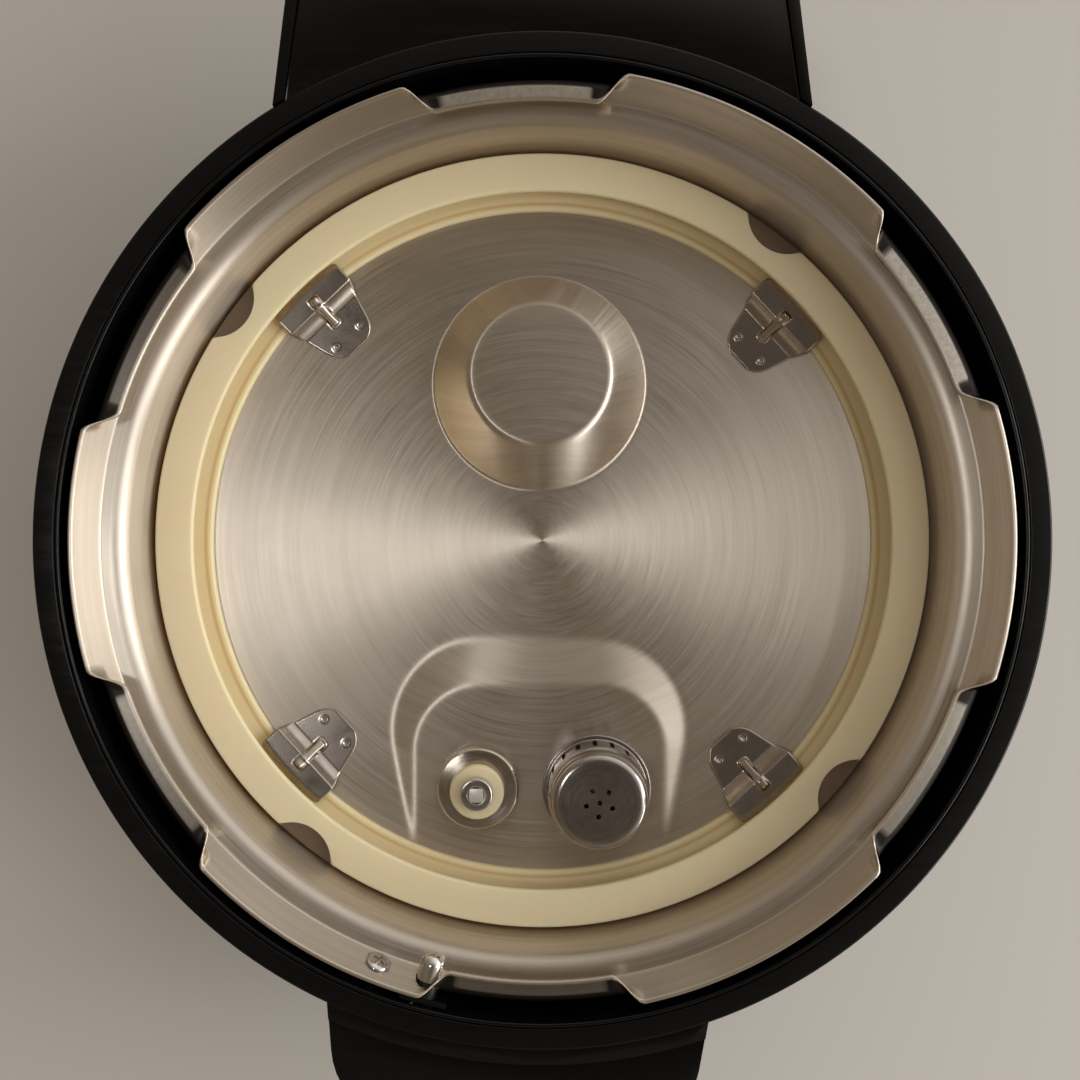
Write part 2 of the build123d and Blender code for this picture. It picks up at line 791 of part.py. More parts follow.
def make_lock():
    """Lock pin through the skirt, the slider that carries it, and the guide on the cover."""
    leg = slider_leg_radius()
    tip = skirt_inside_radius - pin_reach
    back = leg - slider_sheet / 2
    lines = [
        Line((0, tip), (0, back + slider_sheet + 1)),
        Polyline(
            (0, back + slider_sheet + 1),
            (pin_tail_radius, back + slider_sheet + 1),
            (pin_tail_radius, back),
            (pin_radius, back),
            (pin_radius, tip + pin_radius),
        ),
        RadiusArc((pin_radius, tip + pin_radius), (0, tip), pin_radius),
    ]
    profile = make_face([edge for line in lines for edge in line.edges()])
    pin = outward(float_angle, z_pin) * revolve(Plane.XZ * profile, Axis.Z)
    slot_far = valve_circle + float_stem_radius + running_gap
    slot_near = valve_circle - lock_travel - float_stem_radius - running_gap
    start = slot_near - 2 * float_stem_radius
    knee = wall_foot_radius - slider_knee_inset
    rise = leg - slider_rise_inset
    path = Polyline(
        (start, z_slider),
        (knee, z_slider),
        (rise, z_slider + rise - knee),
        (leg, z_edge - slider_leg_drop),
        (leg, z_pin + pin_tail_radius + 0.8),
    )
    strip = extrude(Plane.XZ * trace(path, slider_sheet), slider_width / 2, both=True)
    slot = Pos((slot_near + slot_far) / 2, 0, 0) * slab(
        slot_far - slot_near,
        2 * (float_stem_radius + running_gap),
        z_slider - slider_sheet,
        z_slider + slider_sheet,
    )
    strip -= slot
    tail_hole = disc(pin_tail_radius + slip, back - 1, back + 2 * slider_sheet)
    slider = Rot(0, 0, float_angle) * strip - outward(float_angle, z_pin) * tail_hole
    high = z_slider + slider_sheet / 2 + running_gap + guide_wall / 2
    guide = slab(guide_length, slider_width + 2 * guide_wall, z_cover_inside, high)
    guide -= slab(
        guide_length + 2,
        slider_width + 2 * running_gap,
        z_slider - slider_sheet / 2 - running_gap,
        z_slider + slider_sheet / 2 + running_gap,
    )
    guide_radius = valve_circle + float_bush_radius + guide_gap + guide_length / 2
    guide = Rot(0, 0, float_angle) * Pos(guide_radius, 0, 0) * guide
    return pin, slider, guide


def make_lock_spring():
    """Coil between the slider's leg and the front grip, one tube along quarter turns."""
    base = slider_leg_radius() + slider_sheet / 2 + spring_wire / 2
    pitch = (spring_length - spring_wire) / spring_turns
    quarter = math.pi / 2

    def coil_point(turn):
        return (
            spring_radius * math.cos(turn * 4 * quarter),
            spring_radius * math.sin(turn * 4 * quarter),
            base + pitch * turn,
        )

    arcs = []
    for index in range(4 * spring_turns):
        points = [coil_point(index / 4 + share / 8) for share in range(3)]
        arcs.append(ThreePointArc(*points).edge())
    path = Wire(arcs)
    section = Plane(origin=path @ 0, z_dir=path % 0) * Circle(spring_wire / 2)
    print("lock spring: least gap between turns", round(pitch - spring_wire, 3), "mm")
    return outward(float_angle, z_edge - spring_drop) * sweep(section, path)


def make_skirt_screw():
    """Screw through the skirt into the liner's boss, with its head inside the bowl."""
    head = disc(skirt_screw_head, -skirt_screw_rise, -slip)
    reach = (liner_outer_radius - skirt_foot_radius) / math.cos(math.radians(skirt_tilt)) - screw_radius
    shank = disc(screw_radius, -skirt_screw_rise / 2, reach)
    return skirt_screw_place() * (head + shank)


def make_rear_hood():
    """Rear hood: a tray with a raised border round the cover's rear panel."""
    top = z_rim + hood_border
    outer = extrude(plan_ear(hood_half_width, hood_taper, ear_reach, hood_corner), z_edge + 1)
    body = outer & ear_side(hood_depth, hood_tip, ear_reach, top)
    inside = plan_ear(hood_half_width - ear_wall, hood_taper, ear_reach - ear_wall, hood_corner - ear_wall)
    inner = extrude(inside, z_edge + 1)
    pocket = inner & ear_side(hood_depth - ear_wall, hood_tip - ear_wall, ear_reach - ear_wall, top)
    pocket += inner - disc(cover_radius * 2, 0, z_rim - panel)
    hood = body - pocket - disc(cover_radius + slip, 0, z_edge + 1)
    boss_near = cover_radius + running_gap
    boss_far = cover_radius + ear_screw_depth
    for place in ear_screw_places()[0]:
        web = Pos(hood_depth / 2, 0, 0) * slab(hood_depth, 2 * screw_head_radius, boss_near, boss_far)
        hood += place * (disc(screw_head_radius, boss_near, boss_far) + web) & body
        hood -= place * disc(screw_radius + slip, cover_radius - 1, cover_radius + ear_screw_depth - 1)
    return hood.solids().sort_by(SortBy.VOLUME)[-1]


def make_front_grip():
    """Front grip: a hollow ear under and beyond the cover's front ledge."""
    top = z_rim - grip_drop
    outer = extrude(plan_ear(grip_half_width, grip_taper, ear_reach, grip_corner), z_edge + 1)
    body = outer & ear_side(grip_depth, grip_tip, ear_reach, top)
    inside = plan_ear(grip_half_width - ear_wall, grip_taper, ear_reach - ear_wall, grip_corner - ear_wall)
    inner = extrude(inside, z_edge + 1)
    ledge_low = z_rim - ledge_height - slip
    pocket = inner & ear_side(grip_depth - ear_wall, grip_tip - ear_wall, ear_reach - ear_wall, top)
    pocket &= disc(2 * cover_radius, 0, ledge_low - ear_wall)
    grip = body - pocket
    grip -= disc(cover_radius + ledge_reach + running_gap, ledge_low, z_edge + 1)
    grip = turned(grip_angle) * (grip - disc(cover_radius + slip, 0, z_edge + 1))
    for place in ear_screw_places()[1]:
        grip += place * disc(screw_head_radius, cover_radius + running_gap, cover_radius + ear_screw_depth)
        grip -= place * disc(screw_radius + slip, cover_radius - 1, cover_radius + ear_screw_depth - 1)
    spring_far = slider_leg_radius() + slider_sheet / 2 + spring_length
    bore = spring_radius + spring_wire
    post_frame = outward(float_angle, z_edge - spring_drop)
    post = disc(bore + spring_post_wall, spring_far - 1, ear_reach - 2 * ear_wall)
    post -= disc(bore, 0, spring_far + lock_travel + 1)
    return (grip + post_frame * post).solids().sort_by(SortBy.VOLUME)[-1]


def make_carry_handle():
    """Carry handle: a bar on two legs, flat on top, with a finger gap under it."""
    half = handle_length / 2
    bar_half = half - handle_lean
    outside = FilletPolyline(
        (-half, z_cover),
        (-bar_half, 0),
        (bar_half, 0),
        (half, z_cover),
        radius=handle_corner,
    )
    inside = FilletPolyline(
        (half - handle_leg, z_cover),
        (bar_half - handle_leg, bar_thickness),
        (handle_leg - bar_half, bar_thickness),
        (handle_leg - half, z_cover),
        radius=handle_corner,
    )
    feet = [
        Line((half, z_cover), (half - handle_leg, z_cover)).edge(),
        Line((handle_leg - half, z_cover), (-half, z_cover)).edge(),
    ]
    profile = make_face(outside.edges() + inside.edges() + feet)
    handle = extrude(Plane.YZ * profile, handle_width / 2, both=True)
    sides = handle.faces().group_by(Axis.X)
    rims = [edge for face in sides[0] + sides[-1] for edge in face.edges()]
    rounded = [edge for edge in rims if edge.center().Z < z_cover - 0.5]
    handle = fillet(rounded, handle_edge_round)
    for place in handle_screw_places():
        handle -= place * disc(screw_radius + slip, z_cover - handle_screw_depth - 1, z_cover + 1)
    return handle


def make_fasteners():
    """Studs and screws that hold the cover, the handle, the hood and the grip, one group each."""
    boss_top = z_cover_inside + stud_boss_height
    stud = disc(stud_radius, boss_top, z_seat_back) - disc(screw_radius + slip, boss_top - 1, z_seat_back - 2)
    head_low = z_cover_inside
    cover_screw = disc(screw_head_radius, head_low, head_low + screw_head)
    cover_screw += disc(screw_radius, head_low + screw_head, z_seat_back - 3)
    handle_screw = disc(screw_head_radius, z_cover_inside, z_cover_inside + screw_head)
    handle_screw += disc(screw_radius, z_cover - handle_screw_depth, z_cover_inside)
    head_face = cover_inside_radius - head_gap
    ear_screw = disc(screw_head_radius, head_face - screw_head, head_face)
    ear_screw += disc(screw_radius, cover_inside_radius - 1, cover_radius + ear_screw_depth - 2)
    hood, grip = ear_screw_places()
    return {
        "lid_studs": [place * stud for place in stud_places()],
        "cover_screws": [place * cover_screw for place in stud_places()],
        "handle_screws": [place * handle_screw for place in handle_screw_places()],
        "hood_screws": [place * ear_screw for place in hood],
        "grip_screws": [place * ear_screw for place in grip],
    }


def make_parts():
    """All pieces of the lid by name."""
    vent_pipe, vent_washer, vent_nut = make_vent()
    shield, shield_spring = make_shield()
    steam_weight, steam_knob = make_steam_valve()
    float_bush, float_washer, float_nut, float_pin, float_seal, float_collar = make_float_valve()
    lock_pin, lock_slider, slider_guide = make_lock()
    parts = {
        "outer_cover": make_outer_cover(),
        "rim_liner": make_rim_liner(),
        "rear_hood": make_rear_hood(),
        "front_grip": make_front_grip(),
        "carry_handle": make_carry_handle(),
        "pressure_lid": make_pressure_lid(),
        "sealing_ring": make_sealing_ring(),
        "vent_pipe": vent_pipe,
        "vent_washer": vent_washer,
        "vent_nut": vent_nut,
        "anti_block_shield": shield,
        "shield_spring": shield_spring,
        "steam_weight": steam_weight,
        "steam_knob": steam_knob,
        "float_bush": float_bush,
        "float_washer": float_washer,
        "float_nut": float_nut,
        "float_pin": float_pin,
        "float_seal": float_seal,
        "float_collar": float_collar,
        "lock_pin": lock_pin,
        "lock_slider": lock_slider,
        "lock_spring": make_lock_spring(),
        "slider_guide": slider_guide,
        "skirt_screw": make_skirt_screw(),
    }
    clip = make_seal_clip()
    for index, angle in enumerate(clip_angles):
        parts[f"seal_clip_{index + 1}"] = Rot(0, 0, angle) * clip
    for name, pieces in make_fasteners().items():
        parts[name] = Compound(children=pieces)
    return parts


os.makedirs("parts", exist_ok=True)
for name, part in make_parts().items():
    export_step(part, f"parts/{name}.step")
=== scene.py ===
import logging
import math
from dataclasses import dataclass
from enum import Enum
from typing import Sequence

import bmesh
import bpy
import numpy as np
from mathutils import Matrix


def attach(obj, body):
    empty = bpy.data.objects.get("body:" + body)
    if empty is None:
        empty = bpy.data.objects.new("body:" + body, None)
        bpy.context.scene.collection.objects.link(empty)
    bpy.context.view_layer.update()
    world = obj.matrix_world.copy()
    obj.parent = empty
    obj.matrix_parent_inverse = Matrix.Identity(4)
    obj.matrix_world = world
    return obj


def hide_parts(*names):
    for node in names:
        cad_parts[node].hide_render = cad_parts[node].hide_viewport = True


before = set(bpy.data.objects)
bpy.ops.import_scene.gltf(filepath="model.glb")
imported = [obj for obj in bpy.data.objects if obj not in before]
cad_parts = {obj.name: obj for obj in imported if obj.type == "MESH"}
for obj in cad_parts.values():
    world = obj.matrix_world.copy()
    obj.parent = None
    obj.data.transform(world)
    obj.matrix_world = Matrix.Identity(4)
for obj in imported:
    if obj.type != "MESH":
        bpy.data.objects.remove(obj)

log = logging.getLogger("cooker_lid")

MM = 0.001
SHARP = 38.0
Colour = tuple[float, float, float]
Corner = tuple[float, float, float]


class Body(Enum):
    """Rigid bodies of the lid, by the record's names."""

    LID = "lid"
    FLOAT_VALVE = "float_valve"
    STEAM_WEIGHT = "steam_weight"
    STEAM_KNOB = "steam_knob"
    SHIELD = "shield"
    LOCK = "lock"


class Slot(Enum):
    """Material slots of the record."""

    BLACK_GLOSS = "black_gloss"
    BLACK_MATTE = "black_matte"
    LID_STEEL = "lid_steel"
    BRIGHT_STEEL = "bright_steel"
    PLATED_STEEL = "plated_steel"
    SILICONE = "silicone"


# Sizes that several pieces share, in millimetres and degrees
Z_COVER = 36.0
Z_COVER_INSIDE = 39.0
Z_SEAT = 58.0
Z_SHOULDER = 84.5
Z_FLANGE = 92.5
Z_RIM = 93.5
Z_EDGE = 95.0
Z_PIN = 88.6
COVER_RADIUS = 147.0
VALVE_CIRCLE = 81.45
VENT_ANGLE = 282.36
LOCK_ANGLE = 255.45
SCREW_ANGLE = 248.7


def on_circle(angle: float, radius: float) -> tuple[float, float]:
    """Place at an angle on a circle round the lid's axis."""
    return radius * math.cos(math.radians(angle)), radius * math.sin(math.radians(angle))


VENT = on_circle(VENT_ANGLE, VALVE_CIRCLE)
FLOAT = on_circle(LOCK_ANGLE, VALVE_CIRCLE)

# Frame that stands a prism on its side: its plan becomes Y and Z
ON_SIDE = Matrix(((0, 0, 1, 0), (1, 0, 0, 0), (0, 1, 0, 0), (0, 0, 0, 1)))


def rounded_path(corners: Sequence[Corner], steps: int = 6, closed: bool = False) -> np.ndarray:
    """Polyline with each corner rounded by its own radius.

    Args:
        corners: Corners as (x, y, radius).
        steps: Number of pieces in each rounded corner.
        closed: Whether the last corner joins the first.

    Returns:
        The points of the line, one row each.
    """
    count = len(corners)
    places = np.array([corner[:2] for corner in corners])
    halves = np.zeros(count)
    cuts = np.zeros(count)
    for index, (_, _, radius) in enumerate(corners):
        if radius <= 0 or (not closed and index in (0, count - 1)):
            continue
        back = places[index - 1] - places[index]
        ahead = places[(index + 1) % count] - places[index]
        cosine = float(back @ ahead / (np.linalg.norm(back) * np.linalg.norm(ahead)))
        halves[index] = math.acos(float(np.clip(cosine, -1.0, 1.0))) / 2
        if halves[index] < math.pi / 2 - 0.01:
            cuts[index] = radius / math.tan(halves[index])
    for index in range(count if closed else count - 1):
        after = (index + 1) % count
        room = 0.98 * np.linalg.norm(places[after] - places[index])
        wanted = cuts[index] + cuts[after]
        if wanted > room:
            cuts[index] *= room / wanted
            cuts[after] *= room / wanted
    points: list[np.ndarray] = []
    for index, corner in enumerate(places):
        if cuts[index] == 0:
            points.append(corner)
            continue
        back = places[index - 1] - corner
        ahead = places[(index + 1) % count] - corner
        back = back / np.linalg.norm(back)
        ahead = ahead / np.linalg.norm(ahead)
        half, cut = halves[index], cuts[index]
        inward = (back + ahead) / np.linalg.norm(back + ahead)
        centre = corner + inward * cut / math.cos(half)
        start = corner + back * cut - centre
        end = corner + ahead * cut - centre
        sweep = math.atan2(start[0] * end[1] - start[1] * end[0], float(start @ end))
        for step in range(steps + 1):
            turn = sweep * step / steps
            cos, sin = math.cos(turn), math.sin(turn)
            points.append(centre + np.array((cos * start[0] - sin * start[1], sin * start[0] + cos * start[1])))
    return np.array(points)


def resampled(line: np.ndarray, count: int) -> np.ndarray:
    """Points at equal distances along a polyline.

    Args:
        line: Points of the polyline.
        count: Number of points wanted.

    Returns:
        The new points, both ends among them.
    """
    steps = np.linalg.norm(np.diff(line, axis=0), axis=1)
    along = np.concatenate(([0.0], np.cumsum(steps)))
    wanted = np.linspace(0.0, along[-1], count)
    return np.stack([np.interp(wanted, along, line[:, axis]) for axis in range(2)], axis=1)


def offset_line(line: np.ndarray, distance: float) -> np.ndarray:
    """Line moved to its left by a distance."""
    ahead = np.gradient(line, axis=0)
    ahead /= np.linalg.norm(ahead, axis=1)[:, None]
    return line + distance * np.stack([-ahead[:, 1], ahead[:, 0]], axis=1)


def degrees_away(angles: np.ndarray, centre: float) -> np.ndarray:
    """Turn from a centre to each angle, between -180 and 180 degrees."""
    return (angles - centre + 180) % 360 - 180


def rounded_off(inset: np.ndarray, radius: float) -> np.ndarray:
    """What a rounded corner takes off a half width, at a distance from the end."""
    short = radius - np.clip(inset, 0, radius)
    return radius - np.sqrt(np.maximum(radius**2 - short**2, 0))


def smooth_step(value: np.ndarray) -> np.ndarray:
    """Soft step from 0 to 1 over the unit range."""
    value = np.clip(value, 0.0, 1.0)
    return value * value * (3 - 2 * value)


def smooth_max(first: np.ndarray, second: np.ndarray, blend: float) -> np.ndarray:
    """Larger of two heights with a rounded crease of the given width."""
    mix = np.clip(0.5 + 0.5 * (first - second) / blend, 0.0, 1.0)
    return second * (1 - mix) + first * mix + blend * mix * (1 - mix)


def about_z(angle: float) -> Matrix:
    """Turn round Z by an angle in degrees."""
    return Matrix.Rotation(math.radians(angle), 4, "Z")


def outward(angle: float, height: float) -> Matrix:
    """Frame on the lid's axis whose Z points outward along an angle."""
    return Matrix.Translation((0, 0, height)) @ about_z(angle) @ Matrix.Rotation(math.pi / 2, 4, "Y")


@dataclass
class Shape:
    """Mesh data in millimetres.

    Attributes:
        points: One vertex per row.
        faces: Vertex numbers of each face.
    """

    points: np.ndarray
    faces: list[tuple[int, ...]]

    def moved(self, x: float, y: float) -> "Shape":
        """Copy of the shape at another place of the plan."""
        return Shape(self.points + np.array((x, y, 0.0)), self.faces)

    def placed(self, matrix: Matrix) -> "Shape":
        """Copy of the shape in another frame."""
        rotation = np.array(matrix.to_3x3())
        return Shape(self.points @ rotation.T + np.array(matrix.translation), self.faces)

    def as_object(self, name: str, sharp: float = SHARP) -> bpy.types.Object:
        """Smooth shaded Blender object with outward faces.

        Args:
            name: Name of the object.
            sharp: Edges that turn by more degrees than this stay sharp.

        Returns:
            The object, linked to the scene, in metres.
        """
        mesh = bpy.data.meshes.new(name)
        mesh.from_pydata((self.points * MM).tolist(), [], self.faces)
        work = bmesh.new()
        work.from_mesh(mesh)
        bmesh.ops.recalc_face_normals(work, faces=work.faces[:])
        work.to_mesh(mesh)
        work.free()
        shade(mesh, sharp)
        return linked(name, mesh)


def linked(name: str, data: bpy.types.ID) -> bpy.types.Object:
    """New object of the scene with the given data."""
    piece = bpy.data.objects.new(name, data)
    bpy.context.scene.collection.objects.link(piece)
    return piece


def shade(mesh: bpy.types.Mesh, sharp: float) -> None:
    """Shades a mesh smooth and keeps the edges over an angle sharp."""
    mesh.polygons.foreach_set("use_smooth", [True] * len(mesh.polygons))
    mesh.set_sharp_from_angle(angle=math.radians(sharp))
    mesh.update()


def grid_faces(rows: int, columns: int, wrap_rows: bool, wrap_columns: bool) -> list[tuple[int, ...]]:
    """Quads of a grid whose vertices run row by row.

    Args:
        rows: Number of rows.
        columns: Number of columns.
        wrap_rows: Whether the last row joins the first.
        wrap_columns: Whether the last column joins the first.

    Returns:
        The faces.
    """
    faces = []
    for row in range(rows if wrap_rows else rows - 1):
        low = row * columns
        high = (row + 1) % rows * columns
        for column in range(columns if wrap_columns else columns - 1):
            after = (column + 1) % columns
            faces.append((low + column, low + after, high + after, high + column))
    return faces


def fan_faces(first: int, last_row: int, columns: int) -> list[tuple[int, ...]]:
    """Triangles that close a grid's first and last rows.

    Args:
        first: Number of the first row's pole; the last row's pole comes after it.
        last_row: Number of the last row's first vertex.
        columns: Number of columns.

    Returns:
        The faces.
    """
    faces = []
    for column in range(columns):
        after = (column + 1) % columns
        faces.append((first, after, column))
        faces.append((first + 1, last_row + column, last_row + after))
    return faces


def polar(radius: np.ndarray | float, turn: np.ndarray, height: np.ndarray | float) -> np.ndarray:
    """Places at radii, angles in radians and heights, one row each."""
    return np.stack([radius * np.cos(turn), radius * np.sin(turn), np.zeros_like(turn) + height], axis=1)


def ring_of(profile: np.ndarray, segments: int) -> Shape:
    """Ring made by turning a closed (radius, height) outline round Z."""
    angles = np.linspace(0, 2 * math.pi, segments, endpoint=False)
    points = [polar(radius, angles, height) for radius, height in profile]
    return Shape(np.concatenate(points), grid_faces(len(profile), segments, True, True))


def turned_solid(profile: np.ndarray, segments: int) -> Shape:
    """Solid made by turning an open (radius, height) line with both ends on Z."""
    inner = ring_of(profile[1:-1], segments)
    rows = len(profile) - 2
    faces = grid_faces(rows, segments, False, True)
    faces += fan_faces(rows * segments, (rows - 1) * segments, segments)
    poles = np.array([(0, 0, profile[0][1]), (0, 0, profile[-1][1])])
    return Shape(np.concatenate([inner.points, poles]), faces)


def drum(radius: float, low: float, high: float, segments: int) -> Shape:
    """Upright cylinder between two heights."""
    return turned_solid(np.array([(0, low), (radius, low), (radius, high), (0, high)]), segments)


def rectangle(left: float, right: float, half: float) -> np.ndarray:
    """Plan outline of a rectangle that lies evenly about the X axis."""
    return np.array([(left, -half), (right, -half), (right, half), (left, half)])


def prism(outline: np.ndarray, low: float, high: float) -> Shape:
    """Upright solid over a closed plan outline."""
    count = len(outline)
    base = np.column_stack([outline, np.full(count, low)])
    top = np.column_stack([outline, np.full(count, high)])
    faces = grid_faces(2, count, False, True)
    faces.append(tuple(range(count))[::-1])
    faces.append(tuple(range(count, 2 * count)))
    return Shape(np.concatenate([base, top]), faces)


class Bench:
    """Finishing steps that every sub-assembly uses."""

    @staticmethod
    def baked(piece: bpy.types.Object, sharp: float = SHARP) -> bpy.types.Object:
        """Turns the modifiers of a piece into plain mesh.

        Args:
            piece: Object with modifiers.
            sharp: Angle in degrees over which edges stay sharp.

        Returns:
            The same object without modifiers.
        """
        graph = bpy.context.evaluated_depsgraph_get()
        mesh = bpy.data.meshes.new_from_object(piece.evaluated_get(graph))
        old = piece.data
        piece.modifiers.clear()
        piece.data = mesh
        bpy.data.meshes.remove(old)
        mesh.name = piece.name
        shade(mesh, sharp)
        return piece

    @staticmethod
    def combined(piece: bpy.types.Object, tool: bpy.types.Object, operation: str) -> None:
        """Cuts, adds or keeps the common volume of a piece and a tool.

        Args:
            piece: Object that is worked on.
            tool: Object that is used up.
            operation: DIFFERENCE, UNION or INTERSECT.
        """
        step = piece.modifiers.new("step", "BOOLEAN")
        step.operation = operation
        step.solver = "EXACT"
        step.object = tool
        Bench.baked(piece)
        bpy.data.objects.remove(tool)

    @staticmethod
    def cut(piece: bpy.types.Object, *tools: Shape) -> None:
        """Cuts tools out of a piece, one after the other."""
        for tool in tools:
            Bench.combined(piece, tool.as_object("tool"), "DIFFERENCE")

    @staticmethod
    def triangulated(piece: bpy.types.Object) -> None:
        """Splits the large flat faces of a piece into triangles."""
        work = bmesh.new()
        work.from_mesh(piece.data)
        wide = [face for face in work.faces if len(face.verts) > 4]
        bmesh.ops.triangulate(work, faces=wide, ngon_method="EAR_CLIP")
        work.to_mesh(piece.data)
        work.free()

    @staticmethod
    def eased(
        piece: bpy.types.Object, width: float, segments: int = 3, angle: float = 35.0, split: bool = True
    ) -> bpy.types.Object:
        """Rounds the sharp edges of a piece.

        Args:
            piece: Object to round.
            width: Width of the rounding in millimetres.
            segments: Pieces of the rounding.
            angle: Edges that turn by more degrees than this are rounded.
            split: Whether the large flat faces are split first.

        Returns:
            The same object.
        """
        if split:
            Bench.triangulated(piece)
        step = piece.modifiers.new("ease", "BEVEL")
        step.width = width * MM
        step.segments = segments
        step.limit_method = "ANGLE"
        step.angle_limit = math.radians(angle)
        return Bench.baked(piece)

    @staticmethod
    def dressed(
        piece: bpy.types.Object, material: bpy.types.Material, body: Body, slot: Slot, nodes: Sequence[str]
    ) -> None:
        """Gives a piece its finish, its body and the nodes that it stands for.

        Args:
            piece: Finished object.
            material: Its finish.
            body: Body that it moves with.
            slot: Slot of the record that the finish belongs to; not used.
            nodes: Nodes of the frame that it replaces.
        """
        piece.data.materials.clear()
        piece.data.materials.append(material)
        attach(piece, body.value)
        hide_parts(*nodes)
        log.info("%s rides on %s", piece.name, body.value)


class CopiesTree:
    """Geometry Nodes tree that puts turned copies of a template on points."""

    def __init__(self) -> None:
        """Builds the tree."""
        tree = bpy.data.node_groups.new("turned_copies", "GeometryNodeTree")
        face = tree.interface
        face.new_socket("Points", in_out="INPUT", socket_type="NodeSocketGeometry")
        template = face.new_socket("Template", in_out="INPUT", socket_type="NodeSocketObject")
        material = face.new_socket("Material", in_out="INPUT", socket_type="NodeSocketMaterial")
        face.new_socket("Copies", in_out="OUTPUT", socket_type="NodeSocketGeometry")
        self.tree = tree
        self.template = template.identifier
        self.material = material.identifier
        nodes, links = tree.nodes, tree.links
        enter = nodes.new("NodeGroupInput")
        leave = nodes.new("NodeGroupOutput")
        turn = nodes.new("GeometryNodeInputNamedAttribute")
        turn.data_type = "FLOAT_VECTOR"
        turn.inputs["Name"].default_value = "turn"
        info = nodes.new("GeometryNodeObjectInfo")
        place = nodes.new("GeometryNodeInstanceOnPoints")
        realize = nodes.new("GeometryNodeRealizeInstances")
        paint = nodes.new("GeometryNodeSetMaterial")
        links.new(enter.outputs["Points"], place.inputs["Points"])
        links.new(enter.outputs["Template"], info.inputs["Object"])
        links.new(info.outputs["Geometry"], place.inputs["Instance"])
        links.new(turn.outputs["Attribute"], place.inputs["Rotation"])
        links.new(place.outputs["Instances"], realize.inputs["Geometry"])
        links.new(realize.outputs["Geometry"], paint.inputs["Geometry"])
        links.new(enter.outputs["Material"], paint.inputs["Material"])
        links.new(paint.outputs["Geometry"], leave.inputs["Copies"])

    def copies(
        self,
        name: str,
        template: bpy.types.Object,
        places: Sequence[Corner],
        turns: Sequence[Corner],
        material: bpy.types.Material,
    ) -> bpy.types.Object:
        """Plain mesh of all copies; the template is used up.

        Args:
            name: Name of the new object.
            template: Object that is copied.
            places: Place of each copy in millimetres.
            turns: Turn of each copy about X, Y and Z in degrees.
            material: Finish of the copies.

        Returns:
            The new object.
        """
        mesh = bpy.data.meshes.new(name)
        mesh.from_pydata([tuple(value * MM for value in place) for place in places], [], [])
        store = mesh.attributes.new("turn", "FLOAT_VECTOR", "POINT")
        store.data.foreach_set("vector", [math.radians(value) for turn in turns for value in turn])
        piece = linked(name, mesh)
        step = piece.modifiers.new("copies", "NODES")
        step.node_group = self.tree
        step[self.template] = template
        step[self.material] = material
        Bench.baked(piece)
        bpy.data.objects.remove(template)
        return piece


